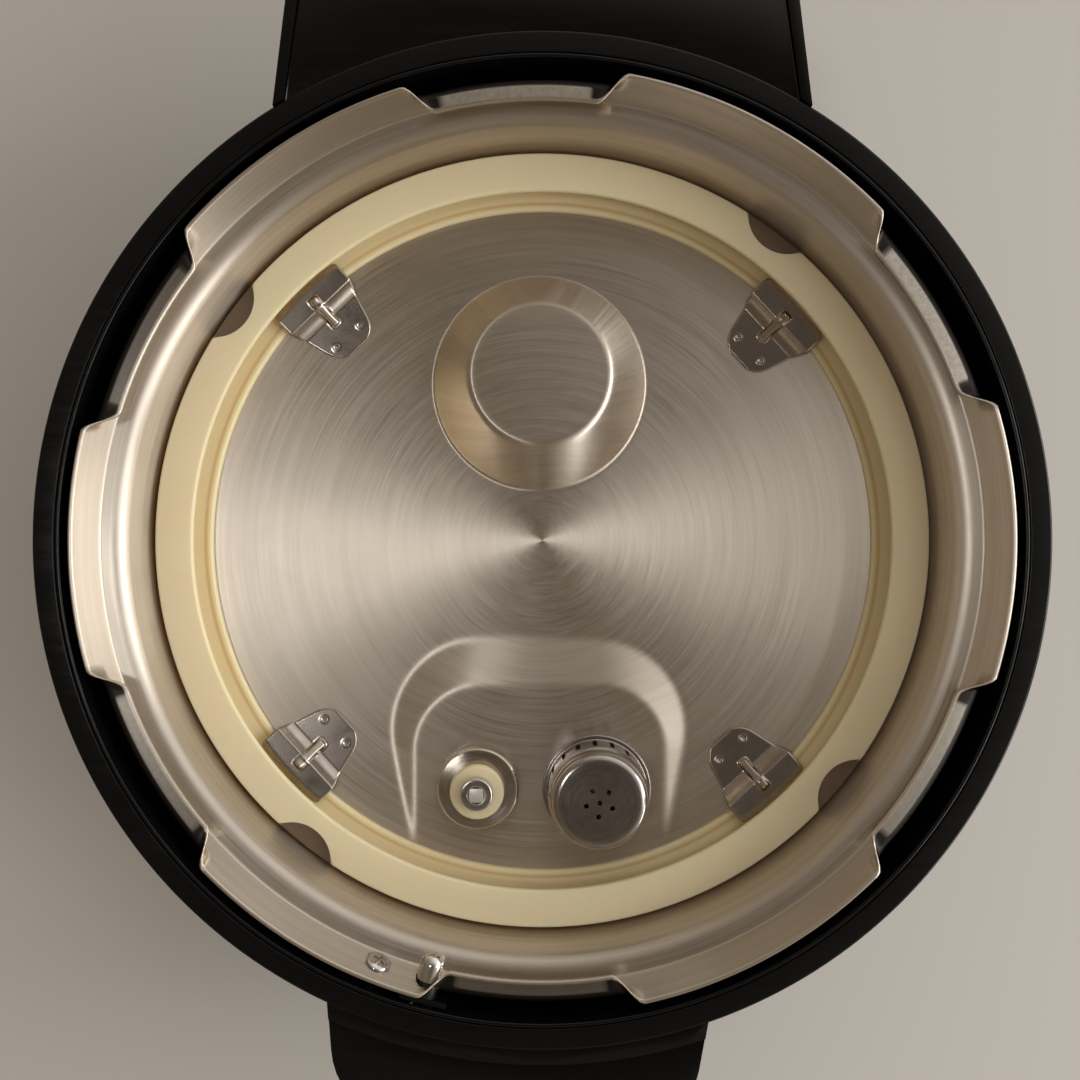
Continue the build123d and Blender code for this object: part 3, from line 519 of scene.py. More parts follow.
class PerforationTree:
    """Geometry Nodes tree that cuts a ring of slots and a ring of holes out of a cap."""

    def __init__(self) -> None:
        """Builds the tree."""
        tree = bpy.data.node_groups.new("perforated_cap", "GeometryNodeTree")
        self.tree = tree
        self.inputs: dict[str, str] = {}
        face = tree.interface
        face.new_socket("Cap", in_out="INPUT", socket_type="NodeSocketGeometry")
        sockets = {
            "Int": ("Slot Count", "Hole Count"),
            "Float": ("Slot Radius", "Hole Circle", "Hole Radius", "Slot Start", "Hole Start"),
            "Vector": ("Centre", "Slot Size", "Slot Level", "Hole Level"),
            "Material": ("Material",),
        }
        for kind, names in sockets.items():
            for name in names:
                socket = face.new_socket(name, in_out="INPUT", socket_type=f"NodeSocket{kind}")
                self.inputs[name] = socket.identifier
        face.new_socket("Perforated", in_out="OUTPUT", socket_type="NodeSocketGeometry")
        nodes, links = tree.nodes, tree.links
        enter = nodes.new("NodeGroupInput")
        leave = nodes.new("NodeGroupOutput")
        slot = nodes.new("GeometryNodeMeshCube")
        links.new(enter.outputs["Slot Size"], slot.inputs["Size"])
        slots = self._ring(enter, "Slot", "Slot Radius", slot.outputs["Mesh"])
        hole = nodes.new("GeometryNodeMeshCylinder")
        hole.inputs["Vertices"].default_value = 20
        hole.inputs["Depth"].default_value = 4 * MM
        links.new(enter.outputs["Hole Radius"], hole.inputs["Radius"])
        holes = self._ring(enter, "Hole", "Hole Circle", hole.outputs["Mesh"])
        tools = nodes.new("GeometryNodeJoinGeometry")
        for part in (slots, holes):
            links.new(part, tools.inputs["Geometry"])
        centred = nodes.new("GeometryNodeTransform")
        links.new(tools.outputs["Geometry"], centred.inputs["Geometry"])
        links.new(enter.outputs["Centre"], centred.inputs["Translation"])
        cut = nodes.new("GeometryNodeMeshBoolean")
        cut.operation = "DIFFERENCE"
        cut.solver = "EXACT"
        links.new(enter.outputs["Cap"], cut.inputs["Mesh 1"])
        links.new(centred.outputs["Geometry"], cut.inputs["Mesh 2"])
        realize = nodes.new("GeometryNodeRealizeInstances")
        paint = nodes.new("GeometryNodeSetMaterial")
        links.new(cut.outputs["Mesh"], realize.inputs["Geometry"])
        links.new(realize.outputs["Geometry"], paint.inputs["Geometry"])
        links.new(enter.outputs["Material"], paint.inputs["Material"])
        links.new(paint.outputs["Geometry"], leave.inputs["Perforated"])

    def _ring(
        self,
        enter: bpy.types.Node,
        kind: str,
        radius: str,
        tool: bpy.types.NodeSocket,
    ) -> bpy.types.NodeSocket:
        """Nodes that set one tool round a circle.

        Args:
            enter: Group input node.
            kind: First word of the inputs with the number, the start and the height of the tools.
            radius: Input with the circle's radius.
            tool: Geometry of one tool.

        Returns:
            The socket with all tools as real geometry.
        """
        nodes, links = self.tree.nodes, self.tree.links
        circle = nodes.new("GeometryNodeMeshCircle")
        links.new(enter.outputs[f"{kind} Count"], circle.inputs["Vertices"])
        links.new(enter.outputs[radius], circle.inputs["Radius"])
        index = nodes.new("GeometryNodeInputIndex")
        share = nodes.new("ShaderNodeMath")
        share.operation = "DIVIDE"
        links.new(index.outputs["Index"], share.inputs[0])
        links.new(enter.outputs[f"{kind} Count"], share.inputs[1])
        angle = nodes.new("ShaderNodeMath")
        angle.operation = "MULTIPLY"
        angle.inputs[1].default_value = 2 * math.pi
        links.new(share.outputs[0], angle.inputs[0])
        turn = nodes.new("ShaderNodeCombineXYZ")
        links.new(angle.outputs[0], turn.inputs["Z"])
        place = nodes.new("GeometryNodeInstanceOnPoints")
        links.new(circle.outputs["Mesh"], place.inputs["Points"])
        links.new(tool, place.inputs["Instance"])
        links.new(turn.outputs["Vector"], place.inputs["Rotation"])
        realize = nodes.new("GeometryNodeRealizeInstances")
        links.new(place.outputs["Instances"], realize.inputs["Geometry"])
        start = nodes.new("ShaderNodeCombineXYZ")
        links.new(enter.outputs[f"{kind} Start"], start.inputs["Z"])
        raised = nodes.new("GeometryNodeTransform")
        links.new(realize.outputs["Geometry"], raised.inputs["Geometry"])
        links.new(enter.outputs[f"{kind} Level"], raised.inputs["Translation"])
        links.new(start.outputs["Vector"], raised.inputs["Rotation"])
        return raised.outputs["Geometry"]

    def perforate(self, piece: bpy.types.Object, values: dict[str, object]) -> None:
        """Cuts the slots and holes out of a piece.

        Args:
            piece: Cap to cut.
            values: Value of each input by its name.
        """
        step = piece.modifiers.new("perforate", "NODES")
        step.node_group = self.tree
        for name, value in values.items():
            step[self.inputs[name]] = value
        Bench.baked(piece, 30.0)


class Sketch:
    """Short way to write a material's nodes."""

    def __init__(self, name: str) -> None:
        """Starts a material with one Principled shader."""
        self.material = bpy.data.materials.new(name)
        self.material.use_nodes = True
        tree = self.material.node_tree
        self.nodes, self.links = tree.nodes, tree.links
        self.nodes.clear()
        self.shader = self.nodes.new("ShaderNodeBsdfPrincipled")
        output = self.nodes.new("ShaderNodeOutputMaterial")
        self.links.new(self.shader.outputs["BSDF"], output.inputs["Surface"])
        self.coordinates = self.nodes.new("ShaderNodeTexCoord").outputs["Object"]

    def feed(self, socket: bpy.types.NodeSocket, value: object) -> None:
        """Links a socket, or sets a plain value on it."""
        if isinstance(value, bpy.types.NodeSocket):
            self.links.new(value, socket)
        else:
            socket.default_value = value

    def math(self, operation: str, first: object, second: object = 0.0, clamp: bool = False) -> bpy.types.NodeSocket:
        """One arithmetic step."""
        node = self.nodes.new("ShaderNodeMath")
        node.operation = operation
        node.use_clamp = clamp
        self.feed(node.inputs[0], first)
        self.feed(node.inputs[1], second)
        return node.outputs[0]

    def combine(self, x: object, y: object, z: object) -> bpy.types.NodeSocket:
        """Vector from three numbers."""
        node = self.nodes.new("ShaderNodeCombineXYZ")
        for socket, value in zip(node.inputs, (x, y, z)):
            self.feed(socket, value)
        return node.outputs[0]

    def split(self, vector: object) -> tuple[bpy.types.NodeSocket, ...]:
        """Three numbers of a vector."""
        node = self.nodes.new("ShaderNodeSeparateXYZ")
        self.feed(node.inputs[0], vector)
        return tuple(node.outputs)

    def blend(self, first: object, second: object, share: float) -> bpy.types.NodeSocket:
        """Sum of two values, the first weighted by a share and the second by the rest."""
        return self.math("ADD", self.math("MULTIPLY", first, share), self.math("MULTIPLY", second, 1 - share))

    def radius(self, x: object, y: object) -> bpy.types.NodeSocket:
        """Distance from the Z axis."""
        square = self.math("ADD", self.math("MULTIPLY", x, x), self.math("MULTIPLY", y, y))
        return self.math("SQRT", square)

    def noise(self, vector: object, scale: float, detail: float = 3.0, rough: float = 0.5) -> bpy.types.NodeSocket:
        """Cloudy noise between 0 and 1."""
        node = self.nodes.new("ShaderNodeTexNoise")
        self.feed(node.inputs["Vector"], vector)
        node.inputs["Scale"].default_value = scale
        node.inputs["Detail"].default_value = detail
        node.inputs["Roughness"].default_value = rough
        return node.outputs["Fac"]

    def ranged(self, value: object, low: float, high: float, to_low: float, to_high: float) -> bpy.types.NodeSocket:
        """Value mapped from one range to another and held inside it."""
        node = self.nodes.new("ShaderNodeMapRange")
        node.clamp = True
        for socket, number in zip(node.inputs, (value, low, high, to_low, to_high)):
            self.feed(socket, number)
        return node.outputs[0]

    def mixed(self, factor: object, first: object, second: object) -> bpy.types.NodeSocket:
        """Mix of two colours."""
        node = self.nodes.new("ShaderNodeMix")
        node.data_type = "RGBA"
        self.feed(node.inputs[0], factor)
        for socket, value in ((node.inputs[6], first), (node.inputs[7], second)):
            self.feed(socket, (*value, 1.0) if isinstance(value, tuple) else value)
        return node.outputs[2]

    def bump(self, height: object, strength: float, distance: float) -> bpy.types.NodeSocket:
        """Normal from a height field, with its depth in millimetres."""
        node = self.nodes.new("ShaderNodeBump")
        node.inputs["Strength"].default_value = strength
        node.inputs["Distance"].default_value = distance * MM
        self.feed(node.inputs["Height"], height)
        return node.outputs[0]

    def attribute(self, name: str) -> bpy.types.NodeSocket:
        """Number stored on the mesh."""
        node = self.nodes.new("ShaderNodeAttribute")
        node.attribute_name = name
        return node.outputs["Fac"]

    def set(self, **values: object) -> None:
        """Sets or links sockets of the shader by their names, spaces written as underscores."""
        for name, value in values.items():
            socket = self.shader.inputs[name.replace("_", " ")]
            self.feed(socket, (*value, 1.0) if isinstance(value, tuple) and len(value) == 3 else value)


@dataclass(frozen=True)
class SpunSteel:
    """Stainless steel with fine turning marks round an axis.

    Attributes:
        name: Name of the material.
        light: Colour of the bright lines.
        dark: Colour of the dull lines.
        smooth: Least roughness.
        rough: Most roughness.
        grain: Lines per metre.
        centre: Place of the axis in millimetres.
        anisotropy: Stretch of the highlights across the lines.
        rubbed_and_painted_light: Whether the mesh marks rubbed places, brightened tooth by tooth as painted sheen, and
            places of painted shade.
        grime: Colour of the painted shade in the teeth's bends and round the screw and the lock pin.
        rubbed_and_sheen: Dull and bright colour of the rubbed places, partly real wear and partly painted sheen.
    """

    name: str
    light: Colour = (0.685, 0.62, 0.54)
    dark: Colour = (0.56, 0.50, 0.425)
    smooth: float = 0.30
    rough: float = 0.44
    grain: float = 1700.0
    centre: tuple[float, float] = (0.0, 0.0)
    anisotropy: float = 0.86
    rubbed_and_painted_light: bool = False
    grime: Colour = (0.014, 0.013, 0.013)
    rubbed_and_sheen: tuple[Colour, Colour] = ((0.60, 0.55, 0.48), (0.86, 0.81, 0.73))

    def build(self) -> bpy.types.Material:
        """The finish as a material."""
        sketch = Sketch(self.name)
        x, y, z = sketch.split(sketch.coordinates)
        x = sketch.math("SUBTRACT", x, self.centre[0] * MM)
        y = sketch.math("SUBTRACT", y, self.centre[1] * MM)
        radius = sketch.math("MAXIMUM", sketch.radius(x, y), 1e-5)
        across = sketch.math("DIVIDE", x, radius)
        along = sketch.math("DIVIDE", y, radius)
        depth = sketch.math("MULTIPLY", sketch.math("ADD", radius, z), self.grain)
        lines = sketch.noise(
            sketch.combine(depth, sketch.math("MULTIPLY", across, 2.4), sketch.math("MULTIPLY", along, 2.4)),
            1.0, 4.0, 0.62,
        )
        bands = sketch.noise(
            sketch.combine(
                sketch.math("MULTIPLY", depth, 0.22),
                sketch.math("MULTIPLY", across, 0.9),
                sketch.math("MULTIPLY", along, 0.9),
            ),
            1.0, 2.0,
        )
        smudge = sketch.noise(sketch.coordinates, 34.0, 4.0, 0.6)
        tone = sketch.ranged(sketch.blend(lines, bands, 0.6), 0.34, 0.66, 0.0, 1.0)
        colour = sketch.mixed(tone, self.dark, self.light)
        roughness = sketch.ranged(sketch.blend(lines, smudge, 0.6), 0.3, 0.7, self.smooth, self.rough)
        # Rubbed places of the teeth with painted sheen, then near-black painted shade
        if self.rubbed_and_painted_light:
            wear = sketch.attribute("wear")
            spots = sketch.noise(sketch.coordinates, 640.0, 6.0, 0.75)
            patch = sketch.ranged(spots, 0.36, 0.64, 0.0, 1.0)
            rubbed_and_sheen = sketch.mixed(patch, *self.rubbed_and_sheen)
            colour = sketch.mixed(sketch.math("MULTIPLY", wear, 0.9), colour, rubbed_and_sheen)
            roughness = sketch.math("ADD", roughness, sketch.math("MULTIPLY", wear, -0.03), True)
            # Painted shade: near-black in the teeth's bends and round the screw and the lock pin
            colour = sketch.mixed(sketch.math("MULTIPLY", sketch.attribute("grime"), 0.96), colour, self.grime)
        normal = sketch.bump(lines, 0.08, 0.03)
        tangent = sketch.combine(across, along, 0.0)
        sketch.set(
            Base_Color=colour, Metallic=1.0, Roughness=roughness, Anisotropic=self.anisotropy, Normal=normal,
            Tangent=tangent,
        )
        return sketch.material


@dataclass(frozen=True)
class PlainSteel:
    """Polished or plated steel with faint handling marks.

    Attributes:
        name: Name of the material.
        colour: Main colour.
        stain: Colour of the marks.
        smooth: Least roughness.
        rough: Most roughness.
        scale: Size of the marks, as noise scale.
        relief: Strength of the fine unevenness.
    """

    name: str
    colour: Colour = (0.70, 0.68, 0.65)
    stain: Colour = (0.56, 0.53, 0.49)
    smooth: float = 0.10
    rough: float = 0.26
    scale: float = 160.0
    relief: float = 0.03

    def build(self) -> bpy.types.Material:
        """The finish as a material."""
        sketch = Sketch(self.name)
        marks = sketch.noise(sketch.coordinates, self.scale, 5.0, 0.65)
        fine = sketch.noise(sketch.coordinates, self.scale * 14, 2.0, 0.6)
        colour = sketch.mixed(sketch.ranged(marks, 0.42, 0.68, 0.0, 1.0), self.colour, self.stain)
        roughness = sketch.ranged(sketch.blend(marks, fine, 0.7), 0.35, 0.65, self.smooth, self.rough)
        sketch.set(Base_Color=colour, Metallic=1.0, Roughness=roughness, Normal=sketch.bump(fine, self.relief, 0.03))
        return sketch.material


@dataclass(frozen=True)
class Silicone:
    """Ivory silicone, a little yellowed low in its groove, with painted shade there and in thin crease lines.

    Attributes:
        name: Name of the material.
        fresh: Colour of the upper faces.
        aged_and_shaded: Colour low down in the groove, partly yellowing and partly painted shade.
        low: Height where the aged and shaded colour is full, in millimetres.
        high: Height where the fresh colour is full, in millimetres.
        painted_crease_shade: Colour of the thin lines of painted shade where the ring creases.
        painted_crease_radii: Radii of these lines in millimetres.
        painted_crease_width: Half width of a line in millimetres.
        stain: Colour of the painted shade on the floors of the finger scoops, which the mesh marks when the ring has
            crease lines.
    """

    name: str
    fresh: Colour = (0.84, 0.73, 0.50)
    aged_and_shaded: Colour = (0.84, 0.70, 0.44)
    low: float = 59.0
    high: float = 69.0
    painted_crease_shade: Colour = (0.62, 0.43, 0.19)
    painted_crease_radii: tuple[float, ...] = ()
    painted_crease_width: float = 0.9
    stain: Colour = (0.21, 0.15, 0.10)

    def build(self) -> bpy.types.Material:
        """The finish as a material."""
        sketch = Sketch(self.name)
        x, y, z = sketch.split(sketch.coordinates)
        radius = sketch.radius(x, y)
        clouds = sketch.noise(sketch.coordinates, 45.0, 4.0, 0.55)
        grain = sketch.noise(sketch.coordinates, 1900.0, 2.0, 0.5)
        # Darker and yellower low down: painted shade of the groove, with some yellowing
        level = sketch.ranged(z, self.low * MM, self.high * MM, 1.0, 0.0)
        age_and_shade = sketch.math("ADD", level, sketch.ranged(clouds, 0.35, 0.75, -0.08, 0.14), True)
        colour = sketch.mixed(age_and_shade, self.fresh, self.aged_and_shaded)
        # Thin lines of painted shade where the ring creases
        for ring in self.painted_crease_radii:
            away = sketch.math("ABSOLUTE", sketch.math("SUBTRACT", radius, ring * MM))
            line = sketch.ranged(away, 0.2 * self.painted_crease_width * MM, self.painted_crease_width * MM, 0.8, 0.0)
            colour = sketch.mixed(sketch.math("MULTIPLY", line, level), colour, self.painted_crease_shade)
        # Painted shade on the floors of the finger scoops
        if self.painted_crease_radii:
            colour = sketch.mixed(sketch.attribute("stain"), colour, self.stain)
        roughness = sketch.ranged(clouds, 0.3, 0.7, 0.36, 0.5)
        sketch.set(
            Base_Color=colour, Roughness=roughness, Subsurface_Weight=0.45, Subsurface_Scale=0.006,
            Specular_IOR_Level=0.4, Normal=sketch.bump(grain, 0.08, 0.04),
        )
        sketch.shader.inputs["Subsurface Radius"].default_value = (1.0, 0.6, 0.3)
        return sketch.material


@dataclass(frozen=True)
class MouldedPlastic:
    """Black moulded plastic with a little dust and fine wipe marks.

    Attributes:
        name: Name of the material.
        colour: Colour of the plastic.
        dust: Colour of the dust.
        smooth: Least roughness.
        rough: Most roughness.
        texture: Depth of the moulded grain in millimetres.
        grain: Grain's noise scale.
    """

    name: str
    colour: Colour = (0.003, 0.003, 0.0035)
    dust: Colour = (0.02, 0.0195, 0.019)
    smooth: float = 0.10
    rough: float = 0.24
    texture: float = 0.01
    grain: float = 900.0

    def build(self) -> bpy.types.Material:
        """The finish as a material."""
        sketch = Sketch(self.name)
        clouds = sketch.noise(sketch.coordinates, 28.0, 4.0, 0.6)
        specks = sketch.noise(sketch.coordinates, 1400.0, 2.0, 0.7)
        wipes = sketch.noise(sketch.combine(*self._streaks(sketch)), 1.0, 3.0, 0.6)
        grain = sketch.noise(sketch.coordinates, self.grain, 2.0, 0.5)
        specks = sketch.ranged(specks, 0.66, 0.74, 0.0, 1.0)
        settled = sketch.math("MULTIPLY", specks, sketch.ranged(clouds, 0.4, 0.7, 0.1, 0.6))
        colour = sketch.mixed(settled, self.colour, self.dust)
        roughness = sketch.ranged(sketch.blend(clouds, wipes, 0.55), 0.35, 0.65, self.smooth, self.rough)
        sketch.set(
            Base_Color=colour, Roughness=roughness, Specular_IOR_Level=0.28,
            Normal=sketch.bump(grain, 0.15, self.texture),
        )
        return sketch.material

    def _streaks(self, sketch: Sketch) -> tuple[bpy.types.NodeSocket, ...]:
        """Coordinates drawn out along X, for wipe marks."""
        x, y, z = sketch.split(sketch.coordinates)
        return sketch.math("MULTIPLY", x, 30.0), sketch.math("MULTIPLY", y, 420.0), sketch.math("MULTIPLY", z, 420.0)


@dataclass
class PressureLid:
    """Pressed steel lid with its domed roof, stepped wall and toothed skirt. Sizes in millimetres."""

    sheet: float = 1.5
    seat_inner: float = 105.0
    sag: float = 5.0
    wall_foot: float = 120.65
    wall_top: float = 123.9
    skirt_foot: float = 132.3
    skirt_lean: float = 4.2
    emboss: tuple[float, float] = (-0.8, 52.2)
    emboss_radius: float = 22.2
    emboss_height: float = 13.2
    emboss_spread: float = 1.05
    emboss_brow: float = 1.2
    emboss_foot: float = 0.6
    deck_x: float = -1.0
    deck_half: float = 40.0
    deck_top: float = -46.7
    deck_corner: float = 20.0
    deck_spread: float = 3.4
    deck_brow: float = 0.35
    deck_foot: float = 0.45
    tooth_angles: tuple[float, ...] = (30.3, 93.4, 152.7, 210.0, 268.5, 329.1)
    # Brightness of each tooth's rubbed flat: real wear, set tooth by tooth as painted sheen where a tooth reflects the
    # light
    tooth_rub_and_sheen: tuple[float, ...] = (1.0, 0.85, 0.4, 0.6, 0.4, 0.6)
    roof_columns: int = 560
    roof_rows: int = 124
    back_step: int = 10
    tooth_flat: float = 21.0
    tooth_ramp: float = 3.5
    tooth_reach: float = 4.9
    tooth_drop: float = 3.0
    tooth_bend: float = 1.2
    strip_half: float = 9.9
    strip_edge: float = 131.9
    screw_drop: float = 6.4
    screw_hole: float = 1.6
    screw_span: tuple[float, float] = (-3.0, 4.0)
    # Reach of the painted shade round the screw and the lock pin, and its fade
    screw_painted_shade: float = 4.1
    pin_hole: float = 3.8
    pin_span: tuple[float, float] = (123.0, 139.0)
    pin_painted_shade: float = 4.4
    painted_shade_fade: float = 0.9
    strip_fade: float = 0.6
    seat_corner: float = 4.5
    shoulder_corner: float = 4.0
    shoulder_end: float = 2.7
    skirt_rise: float = 1.2
    face_rows: int = 22
    columns: int = 720

    def roof_height(self, x: np.ndarray, y: np.ndarray) -> np.ndarray:
        """Height of the roof's pot side at each place."""
        dome = Z_SEAT - self.sag * (1 - (x * x + y * y) / self.seat_inner**2)
        top = Z_SEAT - self.sag + self.emboss_height
        away = np.hypot(x - self.emboss[0], y - self.emboss[1]) - self.emboss_radius
        cone = top - away / self.emboss_spread
        cone = -smooth_max(-cone, np.full_like(cone, -top), self.emboss_brow)
        side = np.abs(x - self.deck_x) - (self.deck_half - self.deck_corner)
        front = y - (self.deck_top - self.deck_corner)
        outside = np.hypot(np.maximum(side, 0), np.maximum(front, 0)) + np.minimum(np.maximum(side, front), 0)
        deck = Z_SEAT - (outside - self.deck_corner) / self.deck_spread
        deck = -smooth_max(-deck, np.full_like(deck, -Z_SEAT), self.deck_brow)
        return smooth_max(smooth_max(dome, deck, self.deck_foot), cone, self.emboss_foot)

    def roof_places(self) -> list[np.ndarray]:
        """Places of the roof's grid, row by row from the middle of the emboss out to the seat."""
        angles = np.linspace(0, 2 * math.pi, self.roof_columns, endpoint=False)
        ways = np.stack([np.cos(angles), np.sin(angles)], axis=1)
        middle = np.array([self.emboss])
        brow = middle + self.emboss_radius * ways
        foot = brow
        for _ in range(6):
            fall = self.emboss_height - self.sag * np.sum(foot * foot, axis=1) / self.seat_inner**2
            foot = middle + (self.emboss_radius + self.emboss_spread * fall)[:, None] * ways
        border = self.seat_inner * ways
        near = np.array([0.012, 0.03, 0.055])
        inside = np.concatenate([np.linspace(0.2, 0.88, 5), 1 - near[::-1]])
        slope = np.concatenate([[0.0], near, np.linspace(0.1, 0.9, 9), 1 - near[::-1]])
        beyond = np.concatenate([[0.0], near / 4, np.linspace(0.022, 1.0, self.roof_rows)])
        rows = [middle + (brow - middle) * share for share in inside]
        rows += [brow + (foot - brow) * share for share in slope]
        return rows + [foot + (border - foot) * share for share in beyond]

    def roof(self) -> Shape:
        """Domed roof with the round emboss and the valve deck, as a closed sheet."""
        places = self.roof_places()
        rows = [np.column_stack([row, self.roof_height(row[:, 0], row[:, 1])]) for row in places]
        for row in places[:: -self.back_step]:
            rows.append(np.column_stack([row, self.roof_height(row[:, 0], row[:, 1]) - self.sheet]))
        columns = self.roof_columns
        faces = grid_faces(len(rows), columns, False, True)
        faces += fan_faces(len(rows) * columns, (len(rows) - 1) * columns, columns)
        centre = float(self.roof_height(*np.array(self.emboss)[:, None])[0])
        poles = [(*self.emboss, centre), (*self.emboss, centre - self.sheet)]
        return Shape(np.concatenate(rows + [np.array(poles)]), faces)

    def skirt_inside(self, height: float) -> float:
        """Radius of the skirt's leaning inner face at a height."""
        return self.skirt_foot - self.sheet + self.skirt_lean * (height - Z_SHOULDER) / (Z_EDGE - Z_SHOULDER)

    def wall_line(self) -> np.ndarray:
        """Middle line of the seat, the wall and the shoulder."""
        half = self.sheet / 2
        return rounded_path(
            [
                (self.seat_inner, Z_SEAT - half, 0),
                (self.wall_foot + half, Z_SEAT - half, self.seat_corner),
                (self.wall_top + half, Z_SHOULDER - half, self.shoulder_corner),
                (self.skirt_foot - self.shoulder_end, Z_SHOULDER - half, 0),
            ],
            12,
        )

    def lug_section(self) -> tuple[np.ndarray, ...]:
        """Section of the plain skirt: inner face, edge and outer face."""
        low, high = Z_SHOULDER + self.skirt_rise, Z_EDGE - self.sheet / 2
        inner = np.array([(self.skirt_inside(low), low), (self.skirt_inside(high), high)])
        outer = inner[::-1] + np.array((self.sheet, 0.0))
        edge = self._edge(inner[-1], outer[0], (0.0, 1.0))
        return resampled(inner, self.face_rows), edge, resampled(outer, self.face_rows)

    def tooth_section(self) -> tuple[np.ndarray, ...]:
        """Section of a tooth: inner face, edge and outer face."""
        low = Z_SHOULDER + self.skirt_rise
        top = Z_EDGE - self.tooth_drop
        under = top - self.sheet
        tip = self.skirt_foot - self.tooth_reach + self.sheet / 2
        start = self.skirt_inside(low)
        inner = rounded_path([(start, low, 0), (self.skirt_inside(under), under, self.tooth_bend), (tip, under, 0)], 8)
        outer = rounded_path(
            [
                (tip, top, 0),
                (self.skirt_inside(top) + self.sheet, top, self.tooth_bend + self.sheet),
                (start + self.sheet, low, 0),
            ],
            8,
        )
        edge = self._edge(inner[-1], outer[0], (-1.0, 0.0))
        return resampled(inner, self.face_rows), edge, resampled(outer, self.face_rows)

    def _edge(self, start: np.ndarray, end: np.ndarray, bulge: tuple[float, float]) -> np.ndarray:
        """Round edge of the sheet between its two faces."""
        middle = (start + end) / 2
        arm = start - middle
        turns = np.linspace(0, math.pi, 7)[1:-1]
        reach = np.array(bulge) * np.linalg.norm(arm)
        return np.array([middle + arm * math.cos(turn) + reach * math.sin(turn) for turn in turns])

    def tooth_share(self, angles: np.ndarray) -> np.ndarray:
        """How far the skirt is bent into a tooth at each angle, from 0 to 1."""
        share = np.zeros_like(angles)
        for centre in self.tooth_angles:
            away = np.abs(degrees_away(angles, centre))
            share = np.maximum(share, smooth_step(1 - (away - self.tooth_flat / 2) / self.tooth_ramp))
        return share

    def strip_share(self, angles: np.ndarray) -> np.ndarray:
        """Where the flat of a tooth is rubbed bright, with a painted sheen that differs from tooth to tooth, from 0 to
        1.
        """
        share = np.zeros_like(angles)
        for centre, rub in zip(self.tooth_angles, self.tooth_rub_and_sheen):
            away = np.abs(degrees_away(angles, centre))
            share = np.maximum(share, rub * smooth_step((self.strip_half - away) / self.strip_fade))
        return share

    def rim(self) -> tuple[Shape, np.ndarray, np.ndarray]:
        """Seat, wall, shoulder and toothed skirt as a closed sheet.

        Returns:
            The shape, how rubbed and painted with sheen each of its points is, and how much painted shade it has.
        """
        degrees = np.linspace(0, 360, self.columns, endpoint=False)
        share = self.tooth_share(degrees)
        strip = self.strip_share(degrees)
        bent = smooth_step(share / 0.2)
        line = self.wall_line()
        foot = self.skirt_foot
        rise = Z_SHOULDER + self.skirt_rise
        inside = self.skirt_inside(rise)
        end = foot - self.shoulder_end
        bend = rounded_path([(end, Z_SHOULDER, 0), (foot - self.sheet, Z_SHOULDER, 0.8), (inside, rise, 0)], 4)
        back = rounded_path(
            [
                (inside + self.sheet, rise, 0),
                (foot, Z_SHOULDER - self.sheet, 2.0),
                (end, Z_SHOULDER - self.sheet, 0),
            ],
            4,
        )
        upper = np.concatenate([offset_line(line, self.sheet / 2), bend[1:-1]])
        lower = np.concatenate([back[1:-1], offset_line(line, -self.sheet / 2)[::-1]])
        profile_rows = [np.tile(point, (self.columns, 1)) for point in upper]
        clean = np.zeros(self.columns)
        wear_and_sheen_rows = [clean for _ in upper]
        painted_shade_rows = [clean for _ in upper]
        for part, (lug, tooth) in enumerate(zip(self.lug_section(), self.tooth_section())):
            for index in range(len(lug)):
                profile_rows.append(lug[index] * (1 - share[:, None]) + tooth[index] * share[:, None])
                # Rubbed flat of a tooth: real wear, painted brighter as sheen
                rubbed_and_sheen = strip * smooth_step((self.strip_edge - tooth[index][0]) / self.strip_fade)
                wear_and_sheen_rows.append(rubbed_and_sheen if part == 2 else clean)
                # Painted shade in the bends of the teeth, where the dark liner is reflected
                painted_shade_rows.append(bent * (1 - rubbed_and_sheen) if part == 2 and index > 0 else clean)
        for point in lower:
            profile_rows.append(np.tile(point, (self.columns, 1)))
            wear_and_sheen_rows.append(clean)
            painted_shade_rows.append(clean)
        turn = np.radians(degrees)
        rows = [polar(row[:, 0], turn, row[:, 1]) for row in profile_rows]
        faces = grid_faces(len(rows), self.columns, True, True)
        return Shape(np.concatenate(rows), faces), np.concatenate(wear_and_sheen_rows), np.concatenate(painted_shade_rows)

    def screw_place(self) -> Matrix:
        """Frame on the skirt's inner face at the screw, with its Z pointing out through the sheet."""
        height = Z_EDGE - self.screw_drop
        tilt = math.atan(self.skirt_lean / (Z_EDGE - Z_SHOULDER))
        spot = Matrix.Translation((self.skirt_inside(height), 0, height))
        return about_z(SCREW_ANGLE) @ spot @ Matrix.Rotation(math.pi / 2 + tilt, 4, "Y")

    def hole_painted_shade(self, points: np.ndarray) -> np.ndarray:
        """How much painted shade each point has round the screw and the lock pin, from 0 to 1."""
        grime = np.zeros(len(points))
        places = ((self.screw_place(), self.screw_painted_shade), (outward(LOCK_ANGLE, Z_PIN), self.pin_painted_shade))
        for place, reach in places:
            axis = np.array(place.col[2][:3])
            arms = points - np.array(place.translation)
            away = np.linalg.norm(arms - np.outer(arms @ axis, axis), axis=1)
            same_side = points @ axis > 0
            grime = np.maximum(grime, same_side * 0.9 * smooth_step((reach - away) / self.painted_shade_fade))
        return grime

    def make(self, steel: bpy.types.Material) -> None:
        """Builds the roof and the rim and dresses them."""
        roof = self.roof().as_object("pressure_lid.roof", 60.0)
        rim_shape, rubbed_and_painted_light, grime = self.rim()
        # Painted shade round the screw and the lock pin joins the painted shade of the bends
        grime = np.maximum(grime, self.hole_painted_shade(rim_shape.points))
        rim = rim_shape.as_object("pressure_lid.rim", 60.0)
